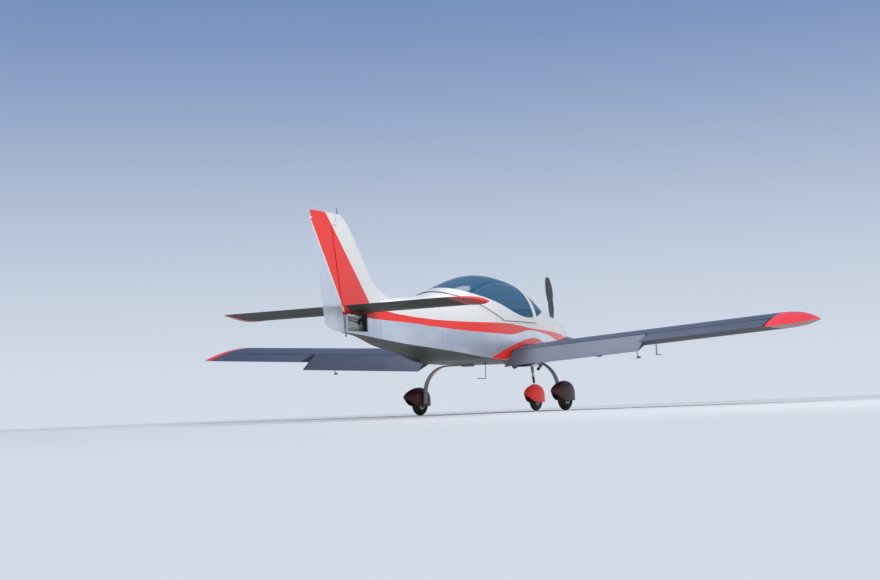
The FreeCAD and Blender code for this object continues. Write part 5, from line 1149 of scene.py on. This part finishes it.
web, links, crank = bmesh.new(), bmesh.new(), bmesh.new()
skinned(web, [[web.verts.new((x, y, z)) for x, z in WEB_EDGE] for y in (-WEB_HALF, WEB_HALF)])
for rise in (0.0, 0.030):
    bar(crank, (-2.596, ROD_Y, 1.092 + rise * 0.8), (CRANK[0], ROD_Y, CRANK[2] + rise - 0.010),
        ROD_HALF, ROD_HALF)
disc(crank, CRANK, 0.024, 0.006)
disc(crank, (-2.300, CRANK[1], 1.094), 0.015, 0.007)
bar(crank, (-2.340, CRANK[1], 1.040), (-2.282, CRANK[1], 1.108), 0.004, 0.010)
bar(crank, (-2.285, CRANK[1], 0.934), (-2.254, CRANK[1], 0.946), 0.012, 0.012)
disc(links, CRANK, 0.007, 0.012)
bar(links, (CRANK[0] + 0.004, -0.030, CRANK[2] - 0.012), (-2.272, -0.030, 0.944), 0.003, 0.007)

bay_sheet = Finish("bay_sheet", Metallic=0.20)
bay_sheet.put(Base_Color=bay_sheet.cloud(12, 3.0).tint(rgb(0.60, 0.61, 0.59), rgb(0.76, 0.77, 0.75)),
              Roughness=bay_sheet.cloud(40, 2.0) * 0.15 + 0.42)
crank_black = metal_finish("crank_black", rgb(0.06, 0.06, 0.06), rgb(0.03, 0.03, 0.03), 0.5, 80)
link_metal = metal_finish("link_metal", rgb(0.62, 0.63, 0.62), rgb(0.48, 0.49, 0.48), 0.3, 80)
piece_from("tail_bay_web", web, bay_sheet)
piece_from("tail_bay_crank", crank, crank_black)
piece_from("tail_bay_link", links, link_metal)

# %% [markdown]
# ## The floor, the light and the camera
# The photograph looks up at the aircraft from behind on its right, so the camera stands
# at floor level on the same bearing. It is nearer than the real one was, because the same
# upward look from the floor needs a shorter line. The far floor fades into the pale
# backdrop, which deepens to blue overhead. Glossy and see-through rays meet it too, and
# all other light is a plain grey.

# %% Floor and backdrop
def shown_rays(wire):
    """1 for camera, glossy and see-through rays."""
    seen, mirrored, through = wire.node("ShaderNodeLightPath").outputs(
        "Is Camera Ray", "Is Glossy Ray", "Is Transmission Ray")
    return seen.or_(mirrored).or_(through)


BACKDROP = rgb(0.66, 0.72, 0.80)
OVERHEAD = rgb(0.16, 0.26, 0.50)
PLAIN_LIGHT = rgb(0.50, 0.52, 0.55)
FLOOR_HALF = 60

floor_mesh = bpy.data.meshes.new("studio_floor")
ends = [(a * FLOOR_HALF, b * FLOOR_HALF, 0) for a, b in ((-1, -1), (1, -1), (1, 1), (-1, 1))]
floor_mesh.from_pydata(ends, [], [(0, 1, 2, 3)])
floor = linked("studio_floor", floor_mesh)

ground = Finish("pale_floor", Roughness=0.75, Specular_IOR_Level=0.2)
ground.put(Base_Color=ground.cloud(40, 3.0).tint(rgb(0.62, 0.66, 0.71), rgb(0.67, 0.71, 0.76)))
far = ((ground.x * ground.x + ground.y * ground.y) ** 0.5).over(10.0, 5.0)
plain = Wire(ground.shader.outputs[0])
glow = plain.node("ShaderNodeEmission", None, {"Color": BACKDROP, "Strength": 1.0})
fade = plain.node("ShaderNodeMixShader", None, {0: far * shown_rays(plain), 1: plain, 2: glow})
ground_tree = ground.material.node_tree
ground_tree.links.new(fade.socket, ground_tree.nodes["Material Output"].inputs["Surface"])
floor_mesh.materials.append(ground.material)

world = bpy.data.worlds.new("studio")
world.use_nodes = True
bpy.context.scene.world = world
outward = Wire(world.node_tree.nodes.new("ShaderNodeTexCoord").outputs["Generated"])
backdrop = outward.parts()[2].over(0.16, 0.17).tint(BACKDROP, OVERHEAD)
light = shown_rays(outward).tint(PLAIN_LIGHT, backdrop)
world.node_tree.links.new(light.socket, world.node_tree.nodes["Background"].inputs["Color"])
print("floor", 2 * FLOOR_HALF, "m wide, and backdrop made")

# %% Lamps
LIT_POINT = Vector((0, 0, 1.0))


def aimed(holder, place, look):
    """Puts a lamp or camera at a place and turns it to look along a direction."""
    holder.location = place
    holder.rotation_euler = look.to_track_quat("-Z", "Y").to_euler()


def lamp(name, place, size, power, colour):
    """A round area lamp at a place. It has a width in metres and a power in watts."""
    light = bpy.data.lights.new(name, "AREA")
    light.shape, light.size, light.energy, light.color = "DISK", size, power, colour
    aimed(linked(name, light), place, LIT_POINT - Vector(place))
    print(name, "lamp of", power, "W")


lamp("key", (-6.0, -11.0, 8.5), 6.0, 900, (1.0, 0.98, 0.95))
lamp("fill", (-10.0, 8.0, 5.0), 7.0, 260, (0.94, 0.97, 1.0))
lamp("top", (3.0, 1.0, 9.0), 7.0, 380, (1.0, 1.0, 1.0))

# %% Camera
AIM = Vector((0.333, 0.375, 1.596))
DISTANCE = 18.0
EYE_HEIGHT = 0.10
BEARING = math.radians(27.94)
ROLL = math.radians(-2.27)
climb = math.asin((AIM.z - EYE_HEIGHT) / DISTANCE)
level = math.cos(climb)
look = Vector((level * math.cos(BEARING), level * math.sin(BEARING), math.sin(climb)))
camera_data = bpy.data.cameras.new("photo_camera")
camera_data.sensor_width = 36.0
camera_data.lens = 57.4
camera = linked("photo_camera", camera_data)
aimed(camera, AIM - look * DISTANCE, look)
camera.rotation_euler.rotate_axis("Z", ROLL)
bpy.context.scene.camera = camera
bpy.context.scene.view_settings.view_transform = "Standard"
print("camera at", [round(v, 3) for v in camera.location])
